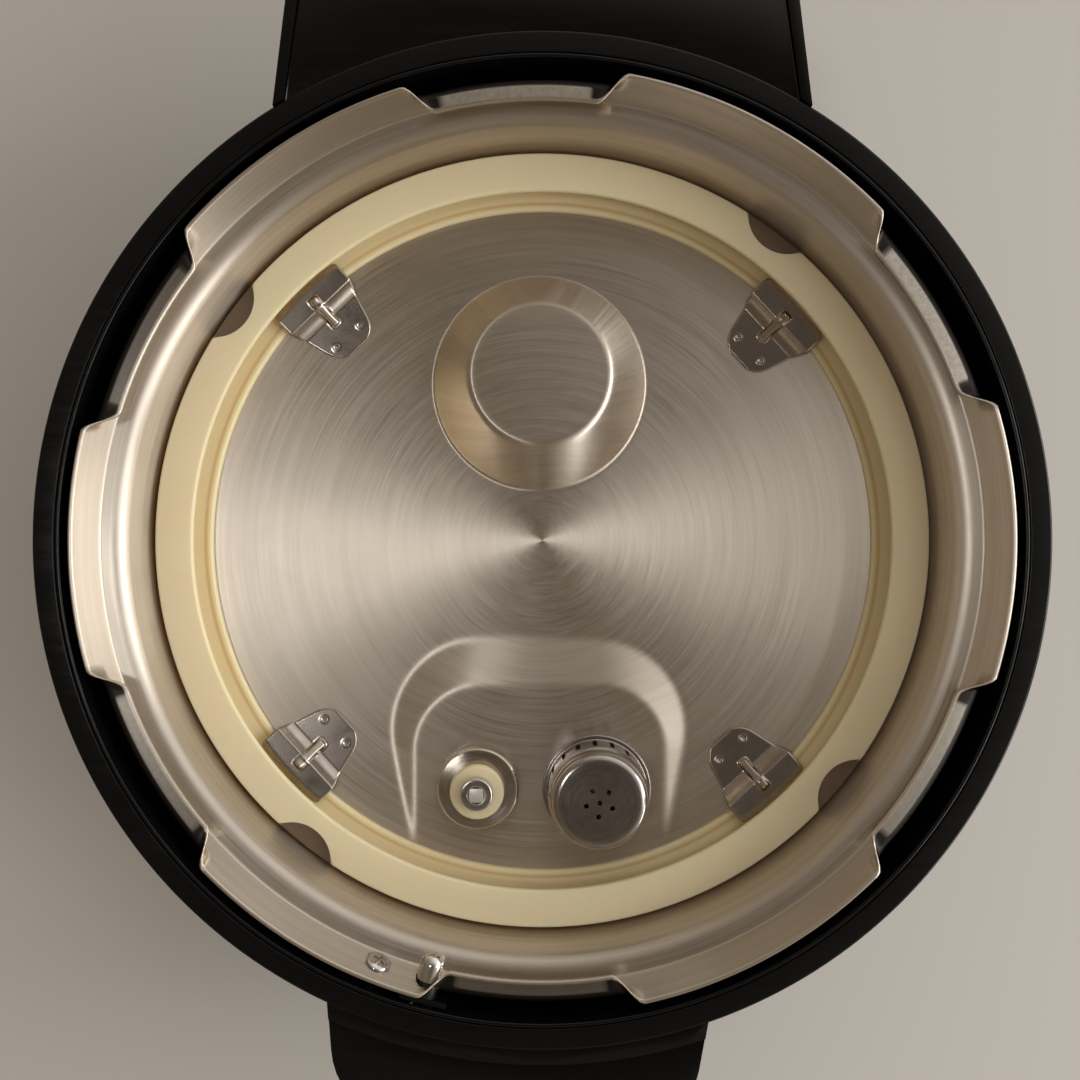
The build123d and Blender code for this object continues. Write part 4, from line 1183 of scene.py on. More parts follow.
        # Wear with painted sheen, and painted shade, stored on the rim for the steel
        for name, values in (("wear", rubbed_and_painted_light), ("grime", grime)):
            store = rim.data.attributes.new(name, "FLOAT", "POINT")
            store.data.foreach_set("value", values)
        pin_hole = drum(self.pin_hole, *self.pin_span, 48).placed(outward(LOCK_ANGLE, Z_PIN))
        screw_hole = drum(self.screw_hole, *self.screw_span, 32).placed(self.screw_place())
        Bench.cut(rim, pin_hole, screw_hole)
        shade(rim.data, 60.0)
        for piece in (roof, rim):
            Bench.dressed(piece, steel, Body.LID, Slot.LID_STEEL, ("pressure_lid",))


@dataclass
class SealingRing:
    """Silicone ring of C section with finger scoops. Sizes in millimetres."""

    outer: float = 119.9
    inner: float = 105.0
    height: float = 12.0
    lip_width: float = 11.6
    lip: float = 2.2
    web: float = 4.6
    foot: float = 2.4
    heel: float = 8.5
    heel_reach: float = 1.04
    chamfer: float = 4.5
    top_flat: float = 5.8
    scoop_angles: tuple[float, ...] = (53.0, 143.5, 232.0, 320.6)
    scoop_radius: float = 12.2
    scoop_depth: float = 6.0
    columns: int = 720

    def outline(self) -> np.ndarray:
        """Closed section of the ring."""
        outer, top = self.outer, Z_SEAT + self.height
        tip = outer - self.lip_width
        web = outer - self.web
        foot = Z_SEAT + self.foot
        return rounded_path(
            [
                (self.inner, Z_SEAT, 0.2),
                (outer - self.chamfer, Z_SEAT, 1.5),
                (outer, Z_SEAT + self.chamfer, 1.5),
                (outer + self.heel_reach, Z_SEAT + self.heel, 0.8),
                (outer, Z_SEAT + self.heel + 1.0, 0.5),
                (outer, top, 0.8),
                (outer - self.top_flat, top, 0),
                (tip, top, 0.9),
                (tip, top - self.lip, 0.8),
                (web, top - self.lip, 1.4),
                (web, foot, 1.4),
                (self.inner, foot, 0.8),
            ],
            5,
            True,
        )

    def make(self, silicone: bpy.types.Material) -> None:
        """Builds the ring with its scoops, marks painted shade on the scoops' floors and dresses it."""
        section = self.outline()
        degrees = np.linspace(0, 360, self.columns, endpoint=False)
        limit = np.full(self.columns, self.outer + 1.0)
        middle = self.outer - self.scoop_depth + self.scoop_radius
        for centre in self.scoop_angles:
            away = np.radians(degrees_away(degrees, centre))
            inside = self.scoop_radius**2 - (middle * np.sin(away)) ** 2
            near = middle * np.cos(away) - np.sqrt(np.maximum(inside, 0))
            limit = np.where((inside > 0) & (np.abs(away) < 0.3), np.minimum(limit, near), limit)
        turn = np.radians(degrees)
        lip_low = Z_SEAT + self.height - self.lip - 0.8
        scooped = (limit < self.outer).astype(float)
        rows, scoop_shades = [], []
        for radius, height in section:
            rows.append(polar(np.minimum(radius, limit) if height >= lip_low else radius, turn, height))
            # The floor of each scoop is marked for painted shade, where the gap by the wall is dark
            floor = radius > self.outer - 1.0 and lip_low - 2.0 < height < lip_low + 1.0
            scoop_shades.append(scooped * float(floor))
        shape = Shape(np.concatenate(rows), grid_faces(len(rows), self.columns, True, True))
        ring = shape.as_object("sealing_ring.body", 50.0)
        ring.data.attributes.new("stain", "FLOAT", "POINT").data.foreach_set("value", np.concatenate(scoop_shades))
        Bench.dressed(ring, silicone, Body.LID, Slot.SILICONE, ("sealing_ring",))


@dataclass
class SealClips:
    """Four spring clips that hold the sealing ring's lower flange. Sizes in millimetres."""

    angles: tuple[float, ...] = (42.6, 133.6, 222.6, 312.2)
    seat_radius: float = 93.0
    seat_height: float = 56.92
    lean: float = 4.82
    sheet: float = 0.7
    foot_half: float = 7.5
    step: float = 3.8
    leaf: float = 7.6
    inner_half: float = 8.2
    outer_half: float = 13.0
    corner: float = 5.6
    bend_start: float = 5.0
    bend_end: float = 9.4
    tip_round: float = 1.5
    brace_start: float = 1.6
    brace_end: float = 13.4
    brace_half: float = 1.45
    dent_inset: float = 2.6
    dent_side: float = 5.2
    dent_radius: float = 0.75
    edge_round: float = 0.8
    rows: int = 110
    columns: int = 97

    @property
    def far(self) -> float:
        """Place of the leaf's end along the clip."""
        return self.foot_half + self.step * 0.4 + self.leaf

    def half_width(self, x: np.ndarray) -> np.ndarray:
        """Half width of the clip along its length."""
        width = self.outer_half - self.inner_half
        flare = self.inner_half + width * np.interp(x, (-7.0, -3.0, 5.0, 8.0, 9.5), (0.0, 0.12, 0.58, 0.86, 1.0))
        return flare - rounded_off(x + self.foot_half, self.corner) - rounded_off(self.far - x, self.tip_round)

    def surface(self, x: np.ndarray, y: np.ndarray) -> np.ndarray:
        """Height of the clip's upper face above its seat."""
        share = np.clip((x - self.bend_start) / (self.bend_end - self.bend_start), 0, 1)
        height = self.sheet + self.step * share**1.5 + 0.05 * np.maximum(x - self.bend_end, 0)
        span = smooth_step((x - self.brace_start) / 1.2) * smooth_step((self.brace_end - x) / 1.4)
        run = self.bend_end + 0.6 - self.brace_start
        brace = self.sheet + 0.55 + (x - self.brace_start) * self.step / run
        rib = np.maximum(brace - height, 0.6) * span * np.exp(-((y / self.brace_half) ** 6))
        dents = np.zeros_like(x)
        for side in (-self.dent_side, self.dent_side):
            away = np.hypot(x + self.dent_inset, y - side)
            dents -= 0.35 * np.exp(-((away / self.dent_radius) ** 4))
            dents += 0.08 * np.exp(-(((away - 1.15) / 0.3) ** 2))
        inset = np.minimum(self.half_width(x) - np.abs(y), x + self.foot_half)
        rounding = 0.4 * (1 - np.sqrt(1 - (1 - np.clip(inset / self.edge_round, 0, 1)) ** 2))
        return height + rib + dents - rounding

    def clip(self) -> Shape:
        """One clip at angle zero, as a closed sheet."""
        ease = np.linspace(0, 1, self.rows)
        along = -self.foot_half + (self.far + self.foot_half) * (0.35 * ease**2 + 0.65 * ease)
        x = along[:, None] * np.ones((1, self.columns))
        y = self.half_width(x) * np.sin(np.linspace(-math.pi / 2, math.pi / 2, self.columns))[None, :]
        top = np.stack([x, y, self.surface(x, y)], axis=2).reshape(-1, 3)
        back = top - np.array((0, 0, self.sheet * 0.5))
        faces = grid_faces(self.rows, self.columns, False, False)
        count = len(top)
        faces += [tuple(count + corner for corner in face[::-1]) for face in faces]
        last = (self.rows - 1) * self.columns
        for column in range(self.columns - 1):
            faces.append((column + 1, column, count + column, count + column + 1))
            faces.append((last + column, last + column + 1, count + last + column + 1, count + last + column))
        for row in range(self.rows - 1):
            low, high = row * self.columns, (row + 1) * self.columns
            faces.append((low, high, count + high, count + low))
            end = self.columns - 1
            faces.append((high + end, low + end, count + low + end, count + high + end))
        lean = Matrix.Rotation(math.radians(-self.lean), 4, "Y")
        seat = Matrix.Translation((self.seat_radius, 0, self.seat_height + 0.1)) @ lean
        return Shape(np.concatenate([top, back]), faces).placed(seat)

    def make(self, tree: CopiesTree, steel: bpy.types.Material) -> None:
        """Builds the clips round the roof and dresses them."""
        template = self.clip().as_object("clip_template", 45.0)
        turns = [(0.0, 0.0, angle) for angle in self.angles]
        clips = tree.copies("seal_clips", template, [(0.0, 0.0, 0.0)] * len(turns), turns, steel)
        shade(clips.data, 45.0)
        nodes = [f"seal_clip_{index + 1}" for index in range(len(self.angles))]
        Bench.dressed(clips, steel, Body.LID, Slot.LID_STEEL, nodes)


@dataclass
class AntiBlockShield:
    """Slotted steel cap over the vent's inlet. Sizes in millimetres."""

    flange: float = 17.4
    wall: float = 15.7
    cap: float = 14.9
    height: float = 19.2
    sheet: float = 0.8
    flange_height: float = 1.2
    step: float = 12.0
    rounding: float = 2.6
    slots: int = 18
    slot_width: float = 1.4
    slot_height: float = 8.0
    slot_lift: float = 0.8
    slot_turn: float = 13.0
    hole_radius: float = 0.75
    hole_circle: float = 4.2
    hole_turn: float = 49.0
    holes: int = 5

    def outline(self) -> np.ndarray:
        """Closed half section of the cap, from its middle hole outwards and back along its inside."""
        top = Z_SEAT + self.height
        sheet = self.sheet
        rings = [(radius, top, 0.0) for radius in (2.0, 3.2, 5.2, 8.0, 11.0)]
        return rounded_path(
            [
                (self.hole_radius, top, 0),
                *rings,
                (self.cap, top, self.rounding),
                (self.cap, Z_SEAT + self.step + sheet, 0.5),
                (self.wall, Z_SEAT + self.step, 0.5),
                (self.wall, Z_SEAT + self.flange_height, 0.5),
                (self.flange, Z_SEAT + self.flange_height, 0.5),
                (self.flange, Z_SEAT, 0.2),
                (self.wall - sheet, Z_SEAT, 0.1),
                (self.wall - sheet, Z_SEAT + self.step - sheet, 0.3),
                (self.cap - sheet, Z_SEAT + self.step, 0.3),
                (self.cap - sheet, top - sheet, self.rounding - sheet),
                (self.hole_radius, top - sheet, 0),
            ],
            6,
            True,
        )

    def make(self, tree: PerforationTree, steel: bpy.types.Material) -> None:
        """Builds the cap, cuts its slots and holes and dresses it."""
        cap = ring_of(self.outline()[::-1], 144).moved(*VENT).as_object("anti_block_shield.cap", 30.0)
        level = Z_SEAT + self.flange_height + self.slot_lift + self.slot_height / 2
        tree.perforate(
            cap,
            {
                "Slot Count": self.slots,
                "Hole Count": self.holes,
                "Slot Radius": self.wall * MM,
                "Hole Circle": self.hole_circle * MM,
                "Hole Radius": self.hole_radius * MM,
                "Slot Start": math.radians(self.slot_turn),
                "Hole Start": math.radians(self.hole_turn),
                "Centre": (VENT[0] * MM, VENT[1] * MM, 0.0),
                "Slot Size": (4 * self.sheet * MM, self.slot_width * MM, self.slot_height * MM),
                "Slot Level": (0.0, 0.0, level * MM),
                "Hole Level": (0.0, 0.0, (Z_SEAT + self.height) * MM),
                "Material": steel,
            },
        )
        Bench.triangulated(cap)
        shade(cap.data, 30.0)
        Bench.dressed(cap, steel, Body.SHIELD, Slot.LID_STEEL, ("anti_block_shield",))


@dataclass
class FloatValve:
    """Float valve with its flanged bush, silicone seal, collar and square-ended pin. Sizes in millimetres."""

    stem: float = 2.2
    bore: float = 2.5
    flange: float = 13.05
    flange_height: float = 3.2
    bush: float = 6.0
    bush_low: float = 48.9
    seal: float = 8.5
    seal_height: float = 4.3
    seal_chamfer: float = 1.5
    collar: float = 5.1
    collar_height: float = 3.6
    socket: float = 2.75
    socket_depth: float = 1.6
    square: float = 4.2
    square_corner: float = 0.8
    square_proud: float = 0.4
    stem_lap: float = 0.2
    head: float = 4.6
    head_height: float = 6.0
    lift: float = 1.0
    gap: float = 0.3
    slip: float = 0.1

    def make(self, finishes: dict[str, bpy.types.Material]) -> None:
        """Builds the pieces of the valve and dresses them.

        Args:
            finishes: Material of the bush, the seal, the collar and the pin, by these names.
        """
        low = Z_SEAT + self.lift
        top = low + self.flange_height
        bush = [
            (self.bore, self.bush_low, 0.2), (self.bush, self.bush_low, 0.4), (self.bush, low, 0.2),
            (self.flange, low, 0.3), (self.flange, top, 1.0), (self.bore, top, 0.3),
        ]
        seal_low = top + self.gap
        seal_top = seal_low + self.seal_height
        inner = self.stem + self.slip
        seal = [
            (inner, seal_low, 0.1), (self.seal - self.seal_chamfer, seal_low, 0.5),
            (self.seal, seal_low + self.seal_chamfer, 0.8), (self.seal, seal_top, 0.9), (inner, seal_top, 0.1),
        ]
        collar_top = seal_top + self.collar_height
        socket_low = collar_top - self.socket_depth
        collar = [
            (inner, seal_top, 0.1), (self.collar, seal_top, 0.2), (self.collar, collar_top, 0.6),
            (self.socket, collar_top, 0.2), (self.socket, socket_low, 0.1), (inner, socket_low, 0.1),
        ]
        rings = (
            ("bush", "flange", bush, 5, 144, Body.LID, Slot.BRIGHT_STEEL),
            ("seal", "ring", seal, 6, 96, Body.FLOAT_VALVE, Slot.SILICONE),
            ("collar", "ring", collar, 5, 96, Body.FLOAT_VALVE, Slot.BRIGHT_STEEL),
        )
        for kind, part, corners, steps, segments, body, slot in rings:
            ring = ring_of(rounded_path(corners, steps, True), segments).moved(*FLOAT)
            piece = ring.as_object(f"float_{kind}.{part}", 40.0)
            Bench.dressed(piece, finishes[kind], body, slot, (f"float_{kind}",))
        head_low, stem_top = Z_COVER - self.head_height, socket_low + self.stem_lap
        line = rounded_path(
            [
                (0, head_low, 0),
                (self.head, head_low, 1.2),
                (self.head, Z_COVER, 0.3),
                (self.stem, Z_COVER + 1.0, 0.3),
                (self.stem, stem_top, 0.1),
                (0, stem_top, 0),
            ],
            6,
        )
        half = self.square / 2
        corners = [(x, y, self.square_corner) for x, y in rectangle(-half, half, half)]
        end = prism(rounded_path(corners, 5, True), socket_low, collar_top + self.square_proud).moved(*FLOAT)
        square = Bench.eased(end.as_object("square_end"), 0.35, 3, 60.0)
        piece = turned_solid(line, 64).moved(*FLOAT).as_object("float_pin.stem", 35.0)
        Bench.combined(piece, square, "UNION")
        shade(piece.data, 35.0)
        Bench.dressed(piece, finishes["pin"], Body.FLOAT_VALVE, Slot.BRIGHT_STEEL, ("float_pin",))


@dataclass
class SteamValve:
    """Vent pipe with the weight and the knob on its tip. Sizes in millimetres."""

    bore: float = 1.8
    pipe: float = 5.0
    flange: float = 9.0
    neck: float = 6.4
    weight: float = 8.0
    knob: float = 14.0
    fin_width: float = 7.0
    fin_reach: float = 20.0
    fin_drop: float = 7.0
    fin_corner: float = 2.3
    knob_low: float = 11.7
    knob_cap: float = 5.0
    knob_gap: float = 0.3
    mouth: float = 31.0
    tip_drop: float = 10.0
    collar_height: float = 4.0
    neck_height: float = 11.5

    def make(self, polished: bpy.types.Material, plastic: bpy.types.Material) -> None:
        """Builds the pipe and the knob and dresses them."""
        tip, collar, top = Z_COVER - self.tip_drop, Z_SEAT + self.collar_height, Z_SEAT + self.neck_height
        pipe = rounded_path(
            [
                (self.bore, tip, 0.1),
                (self.pipe, tip, 0.9),
                (self.pipe, Z_SEAT, 0.1),
                (self.flange, Z_SEAT, 0.2),
                (self.flange, collar, 0.6),
                (self.neck, collar, 0.2),
                (self.neck, top, 1.0),
                (self.bore, top, 0.3),
            ],
            5,
            True,
        )
        piece = ring_of(pipe, 72).moved(*VENT).as_object("vent_pipe.body", 35.0)
        Bench.dressed(piece, polished, Body.LID, Slot.BRIGHT_STEEL, ("vent_pipe",))
        bore, floor = self.weight + self.knob_gap, self.knob_low + self.knob_cap
        line = rounded_path(
            [
                (0, self.knob_low, 0),
                (self.knob, self.knob_low, 3.0),
                (self.knob, self.mouth, 0.6),
                (bore, self.mouth, 0.4),
                (bore, floor, 0.2),
                (0, floor, 0),
            ],
            6,
        )
        half = self.fin_width / 2
        reach, corner = self.fin_reach, self.fin_corner
        corners = [(-half, 0, 0.5), (-half, -reach, corner), (half, -reach, corner), (half, 0, 0.5)]
        outline = rounded_path(corners, 5, True)
        knob = turned_solid(line, 96).as_object("steam_knob.body", 35.0)
        fin = prism(outline, self.knob_low, self.knob_low + self.fin_drop).as_object("knob_fin")
        Bench.cut(fin, drum(bore, floor, 60.0, 96))
        Bench.combined(knob, fin, "UNION")
        knob.data.transform(Matrix.Translation((VENT[0] * MM, VENT[1] * MM, 0.0)))
        shade(knob.data, 35.0)
        Bench.dressed(knob, plastic, Body.STEAM_KNOB, Slot.BLACK_MATTE, ("steam_knob",))


@dataclass
class LockPin:
    """Domed lock pin through the skirt, and the screw beside it. Sizes in millimetres."""

    radius: float = 3.5
    tip: float = 124.5
    neck: float = 132.2
    back: float = 137.1
    tail: float = 2.0
    tail_length: float = 2.6
    screw_head: float = 3.4
    screw_rise: float = 1.3
    screw_flat: float = 1.2
    screw_seat: float = -0.05
    shank: float = 1.5
    shank_reach: float = 6.6
    recess_reach: float = 1.9
    recess_half: float = 0.4
    recess_depth: float = 0.75
    recess_turns: tuple[float, ...] = (25.0, 115.0)

    def make(self, place: Matrix, finishes: dict[str, bpy.types.Material]) -> None:
        """Builds the pin and the screw and dresses them.

        Args:
            place: Frame of the screw on the skirt.
            finishes: Material of the pin, the screw and the parts behind the skirt, by the names pin, screw and back;
                the back one is near-black to paint their shadow.
        """
        tip = rounded_path(
            [
                (0, self.tip, 0),
                (self.radius, self.tip, self.radius),
                (self.radius, self.neck, 0),
                (0, self.neck, 0),
            ],
            14,
        )
        shank = rounded_path(
            [
                (0, self.neck, 0),
                (self.radius, self.neck, 0),
                (self.radius, self.back, 0.3),
                (self.tail, self.back, 0.1),
                (self.tail, self.back + self.tail_length, 0.3),
                (0, self.back + self.tail_length, 0),
            ],
            6,
        )
        # The shank behind the skirt takes near-black steel as painted shadow
        for name, line, finish in (("tip", tip, "pin"), ("shank", shank, "back")):
            piece = turned_solid(line, 64).placed(outward(LOCK_ANGLE, Z_PIN)).as_object(f"lock_pin.{name}", 40.0)
            Bench.dressed(piece, finishes[finish], Body.LOCK, Slot.BRIGHT_STEEL, ("lock_pin",))
        head = rounded_path(
            [
                (0, -self.screw_rise, 0),
                (self.screw_flat, -self.screw_rise, 0),
                (self.screw_head, -self.screw_rise * 0.6, 0.7),
                (self.screw_head, self.screw_seat, 0.1),
                (0, self.screw_seat, 0),
            ],
            6,
        )
        screw = turned_solid(head, 64).as_object("skirt_screw.head", 35.0)
        arm = rectangle(-self.recess_reach, self.recess_reach, self.recess_half)
        bar = prism(arm, -self.screw_rise - 1.0, -self.screw_rise + self.recess_depth)
        Bench.cut(screw, *(bar.placed(about_z(turn)) for turn in self.recess_turns))
        to_metres = Matrix.Scale(MM, 4)
        screw.data.transform(to_metres @ place @ to_metres.inverted())
        shade(screw.data, 35.0)
        Bench.dressed(screw, finishes["screw"], Body.LID, Slot.PLATED_STEEL, ("skirt_screw",))
        near, far = self.screw_seat, self.shank_reach
        line = rounded_path([(0, near, 0), (self.shank, near, 0), (self.shank, far, 0.2), (0, far, 0)], 4)
        # The screw's shank behind the skirt takes near-black steel as painted shadow
        stem = turned_solid(line, 32).placed(place).as_object("skirt_screw.shank", 35.0)
        Bench.dressed(stem, finishes["back"], Body.LID, Slot.PLATED_STEEL, ("skirt_screw",))


@dataclass
class OuterCover:
    """Moulded cover, its rim liner, the rear hood and the front grip. Sizes in millimetres."""

    wall: float = 3.0
    shoulder: float = 46.0
    flange_width: float = 6.4
    liner_wall: float = 1.2
    liner_groove: float = 0.4
    reach: float = 171.0
    hood_half: float = 77.6
    hood_taper: float = 5.6
    hood_corner: float = 14.0
    hood_depth: float = 27.0
    hood_tip: float = 12.0
    border: float = 0.5
    root: float = 44.0
    ear_wall: float = 3.2
    panel: float = 3.0
    grip_angle: float = 267.0
    grip_half: float = 55.0
    grip_taper: float = 4.5
    grip_corner: float = 24.0
    grip_depth: float = 36.0
    grip_tip: float = 16.0
    grip_drop: float = 1.0
    ledge_reach: float = 4.1
    ledge_height: float = 5.5
    panel_drop: float = 0.25
    vent_hole: float = 5.3
    float_hole: float = 4.9
    stud_hole: float = 3.5
    stud_circle: float = 110.0
    stud_angles: tuple[float, ...] = (20.0, 90.0, 160.0, 330.0)
    window_start: float = 136.5
    window_half: float = 7.6
    window_low: float = 61.8
    liner_height: float = 15.0
    liner_proud: float = 0.4
    liner_seat: tuple[float, float] = (3.0, 1.5)
    pocket_depth: float = 9.0
    post_radii: tuple[float, float] = (4.1, 5.7)
    post_start: float = 149.7
    post_drop: float = 16.0
    tool_top: float = 120.0
    hole_span: tuple[float, float] = (30.0, 45.0)
    stud_span: tuple[float, float] = (30.0, 41.2)
    gap: float = 0.1
    slack: float = 0.3

    def plan(self, half: float, taper: float, reach: float, corner: float) -> np.ndarray:
        """Plan outline of an ear along +Y."""
        start = COVER_RADIUS - self.root
        bend = math.sqrt(COVER_RADIUS**2 - half**2)
        corners = [
            (-half, start, 0), (-half, bend, 0), (-half + taper, reach, corner),
            (half - taper, reach, corner), (half, bend, 0), (half, start, 0),
        ]
        return rounded_path(corners[::-1], 10, True)

    def side(self, depth: float, tip: float, reach: float, top: float) -> Shape:
        """Side form of an ear along +Y: deep at the cover and thin at its end."""
        near = COVER_RADIUS - self.root
        outline = rounded_path(
            [
                (near, top - depth, 0), (COVER_RADIUS, top - depth, 5.0), (reach, top - tip, 5.0),
                (reach, top, 0), (near, top, 0),
            ],
            8,
            True,
        )
        block = prism(outline, -COVER_RADIUS, COVER_RADIUS)
        return block.placed(ON_SIDE)

    def slider_window(self, far: float) -> Shape:
        """Block of the opening for the slider's leg, out to a radius."""
        outline = rectangle(self.window_start, far, self.window_half)
        return prism(outline, self.window_low, Z_FLANGE - self.gap).placed(about_z(LOCK_ANGLE))

    def ear(self, name: str, plan: np.ndarray, side: Shape) -> bpy.types.Object:
        """Block of an ear with the cover's round taken off."""
        block = prism(plan, 0, Z_EDGE).as_object(name)
        Bench.combined(block, side.as_object("side_form"), "INTERSECT")
        round_off = drum(COVER_RADIUS + self.gap, -5.0, Z_EDGE + 5, 360)
        Bench.cut(block, round_off)
        return block

    def shell(self, plastic: bpy.types.Material) -> None:
        """Builds the cover's shell with its rim flange and its openings."""
        inner = COVER_RADIUS - self.wall
        lip = COVER_RADIUS - self.flange_width
        line = rounded_path(
            [
                (0, Z_COVER, 0),
                (COVER_RADIUS, Z_COVER, self.shoulder),
                (COVER_RADIUS, Z_RIM, 0.9),
                (lip, Z_RIM, 0.4),
                (lip, Z_FLANGE, 0.2),
                (inner, Z_FLANGE, 0.2),
                (inner, Z_COVER_INSIDE, self.shoulder - self.wall),
                (0, Z_COVER_INSIDE, 0),
            ],
            16,
        )
        cover = turned_solid(line, 360).as_object("outer_cover.shell", 40.0)
        valves = ((VENT, self.vent_hole), (FLOAT, self.float_hole))
        holes = [drum(radius, *self.hole_span, 48).moved(*place) for place, radius in valves]
        for angle in self.stud_angles:
            holes.append(drum(self.stud_hole, *self.stud_span, 40).moved(*on_circle(angle, self.stud_circle)))
        Bench.cut(cover, *holes, self.slider_window(COVER_RADIUS + self.ledge_reach / 2))
        Bench.triangulated(cover)
        shade(cover.data, 40.0)
        Bench.dressed(cover, plastic, Body.LID, Slot.BLACK_GLOSS, ("outer_cover",))

    def hollow(self) -> Shape:
        """Tool that keeps a piece out of the cover, apart from a little overlap with its wall."""
        return drum(COVER_RADIUS - self.slack, 0.0, self.tool_top, 360)

    def rear_panel(self, plastic: bpy.types.Material) -> None:
        """Builds the cover's flat panel inside the rear hood."""
        inset = self.ear_wall + self.slack
        plan = self.plan(self.hood_half - inset, self.hood_taper, self.reach - inset, self.hood_corner - self.ear_wall)
        panel = prism(plan, Z_RIM - self.panel, Z_RIM - self.panel_drop).as_object("outer_cover.rear_panel")
        Bench.cut(panel, self.hollow())
        Bench.eased(panel, 0.3, 2, 50.0)
        Bench.dressed(panel, plastic, Body.LID, Slot.BLACK_GLOSS, ("outer_cover",))

    def front_ledge(self, plastic: bpy.types.Material) -> None:
        """Builds the cover's ledge over the front grip."""
        plan = self.plan(self.grip_half, self.grip_taper, self.reach, self.grip_corner)
        ledge = prism(plan, Z_RIM - self.ledge_height, Z_RIM - self.panel_drop).as_object("outer_cover.front_ledge")
        limit = drum(COVER_RADIUS + self.ledge_reach, 0.0, self.tool_top, 360)
        Bench.combined(ledge, limit.as_object("ledge_limit"), "INTERSECT")
        Bench.cut(ledge, self.hollow())
        ledge.data.transform(about_z(self.grip_angle - 90))
        Bench.cut(ledge, self.slider_window(COVER_RADIUS + self.ledge_reach / 2))
        Bench.eased(ledge, 0.4, 2, 50.0)
        Bench.dressed(ledge, plastic, Body.LID, Slot.BLACK_GLOSS, ("outer_cover",))

    def liner(self, plastic: bpy.types.Material) -> None:
        """Builds the liner between the skirt and the cover's rim."""
        outer = COVER_RADIUS - self.flange_width - self.liner_groove
        inner = outer - self.liner_wall
        top = Z_RIM + self.liner_proud
        low = top - self.liner_height
        seat, under = outer + self.liner_seat[0], Z_FLANGE - self.liner_seat[1]
        line = rounded_path(
            [
                (inner, low, 0.3), (outer, low, 0.3), (outer, under, 0.1),
                (seat, under, 0.2), (seat, Z_FLANGE, 0.2), (outer, Z_FLANGE, 0.1),
                (outer, top, 0.45), (inner, top, 0.45),
            ],
            4,
            True,
        )
        ring = ring_of(line, 360).as_object("rim_liner.ring", 40.0)
        Bench.cut(ring, self.slider_window(COVER_RADIUS))
        Bench.triangulated(ring)
        shade(ring.data, 40.0)
        Bench.dressed(ring, plastic, Body.LID, Slot.BLACK_GLOSS, ("rim_liner",))

    def hood(self, plastic: bpy.types.Material) -> None:
        """Builds the rear hood as a tray with a raised border."""
        top = Z_RIM + self.border
        plan = self.plan(self.hood_half, self.hood_taper, self.reach, self.hood_corner)
        hood = self.ear("rear_hood.tray", plan, self.side(self.hood_depth, self.hood_tip, self.reach, top))
        wall = self.ear_wall
        inner = self.plan(self.hood_half - wall, self.hood_taper, self.reach - wall, self.hood_corner - wall)
        Bench.cut(hood, prism(inner, Z_RIM - self.pocket_depth, Z_EDGE + 1))
        Bench.eased(hood, 0.9, 3, 40.0)
        Bench.dressed(hood, plastic, Body.LID, Slot.BLACK_GLOSS, ("rear_hood",))

    def grip(self, plastic: bpy.types.Material) -> None:
        """Builds the front grip under and beyond the ledge."""
        top = Z_RIM - self.grip_drop
        plan = self.plan(self.grip_half, self.grip_taper, self.reach, self.grip_corner)
        grip = self.ear("front_grip.body", plan, self.side(self.grip_depth, self.grip_tip, self.reach, top))
        low = Z_RIM - self.ledge_height - self.gap
        Bench.cut(grip, drum(COVER_RADIUS + self.ledge_reach + self.slack, low, self.tool_top, 360))
        wall = self.ear_wall
        inner = self.plan(self.grip_half - wall, self.grip_taper, self.reach - wall, self.grip_corner - wall)
        pocket = prism(inner, 0, low - wall).as_object("grip_pocket")
        form = self.side(self.grip_depth - wall, self.grip_tip - wall, self.reach - wall, top)
        Bench.combined(pocket, form.as_object("pocket_form"), "INTERSECT")
        Bench.combined(grip, pocket, "DIFFERENCE")
        grip.data.transform(about_z(self.grip_angle - 90))
        Bench.eased(grip, 1.0, 3, 40.0, split=False)
        Bench.dressed(grip, plastic, Body.LID, Slot.BLACK_GLOSS, ("front_grip",))
        (inner, outer), near, far = self.post_radii, self.post_start, self.reach - 1.5 * wall
        post = np.array([(inner, near), (outer, near), (outer, far), (inner, far)])
        place = outward(LOCK_ANGLE, Z_EDGE - self.post_drop)
        piece = ring_of(post, 48).placed(place).as_object("front_grip.post", 40.0)
        Bench.dressed(piece, plastic, Body.LID, Slot.BLACK_GLOSS, ("front_grip",))


@dataclass
class CarryHandle:
    """Bar on two legs that the lid lies on. Sizes in millimetres."""

    width: float = 34.0
    length: float = 124.12
    lean: float = 10.0
    leg: float = 20.0
    bar: float = 12.0
    corner: float = 8.0
    rounding: float = 4.0

    def make(self, plastic: bpy.types.Material) -> None:
        """Builds the handle and dresses it."""
        half = self.length / 2
        top = half - self.lean
        outline = rounded_path(
            [
                (-half, Z_COVER, 0), (-top, 0, self.corner), (top, 0, self.corner), (half, Z_COVER, 0),
                (half - self.leg, Z_COVER, 0), (top - self.leg, self.bar, self.corner),
                (self.leg - top, self.bar, self.corner), (self.leg - half, Z_COVER, 0),
            ],
            10,
            True,
        )
        block = prism(outline, -self.width / 2, self.width / 2)
        handle = block.placed(ON_SIDE).as_object("carry_handle.bar", 40.0)
        Bench.eased(handle, self.rounding, 6, 60.0)
        Bench.dressed(handle, plastic, Body.LID, Slot.BLACK_GLOSS, ("carry_handle",))


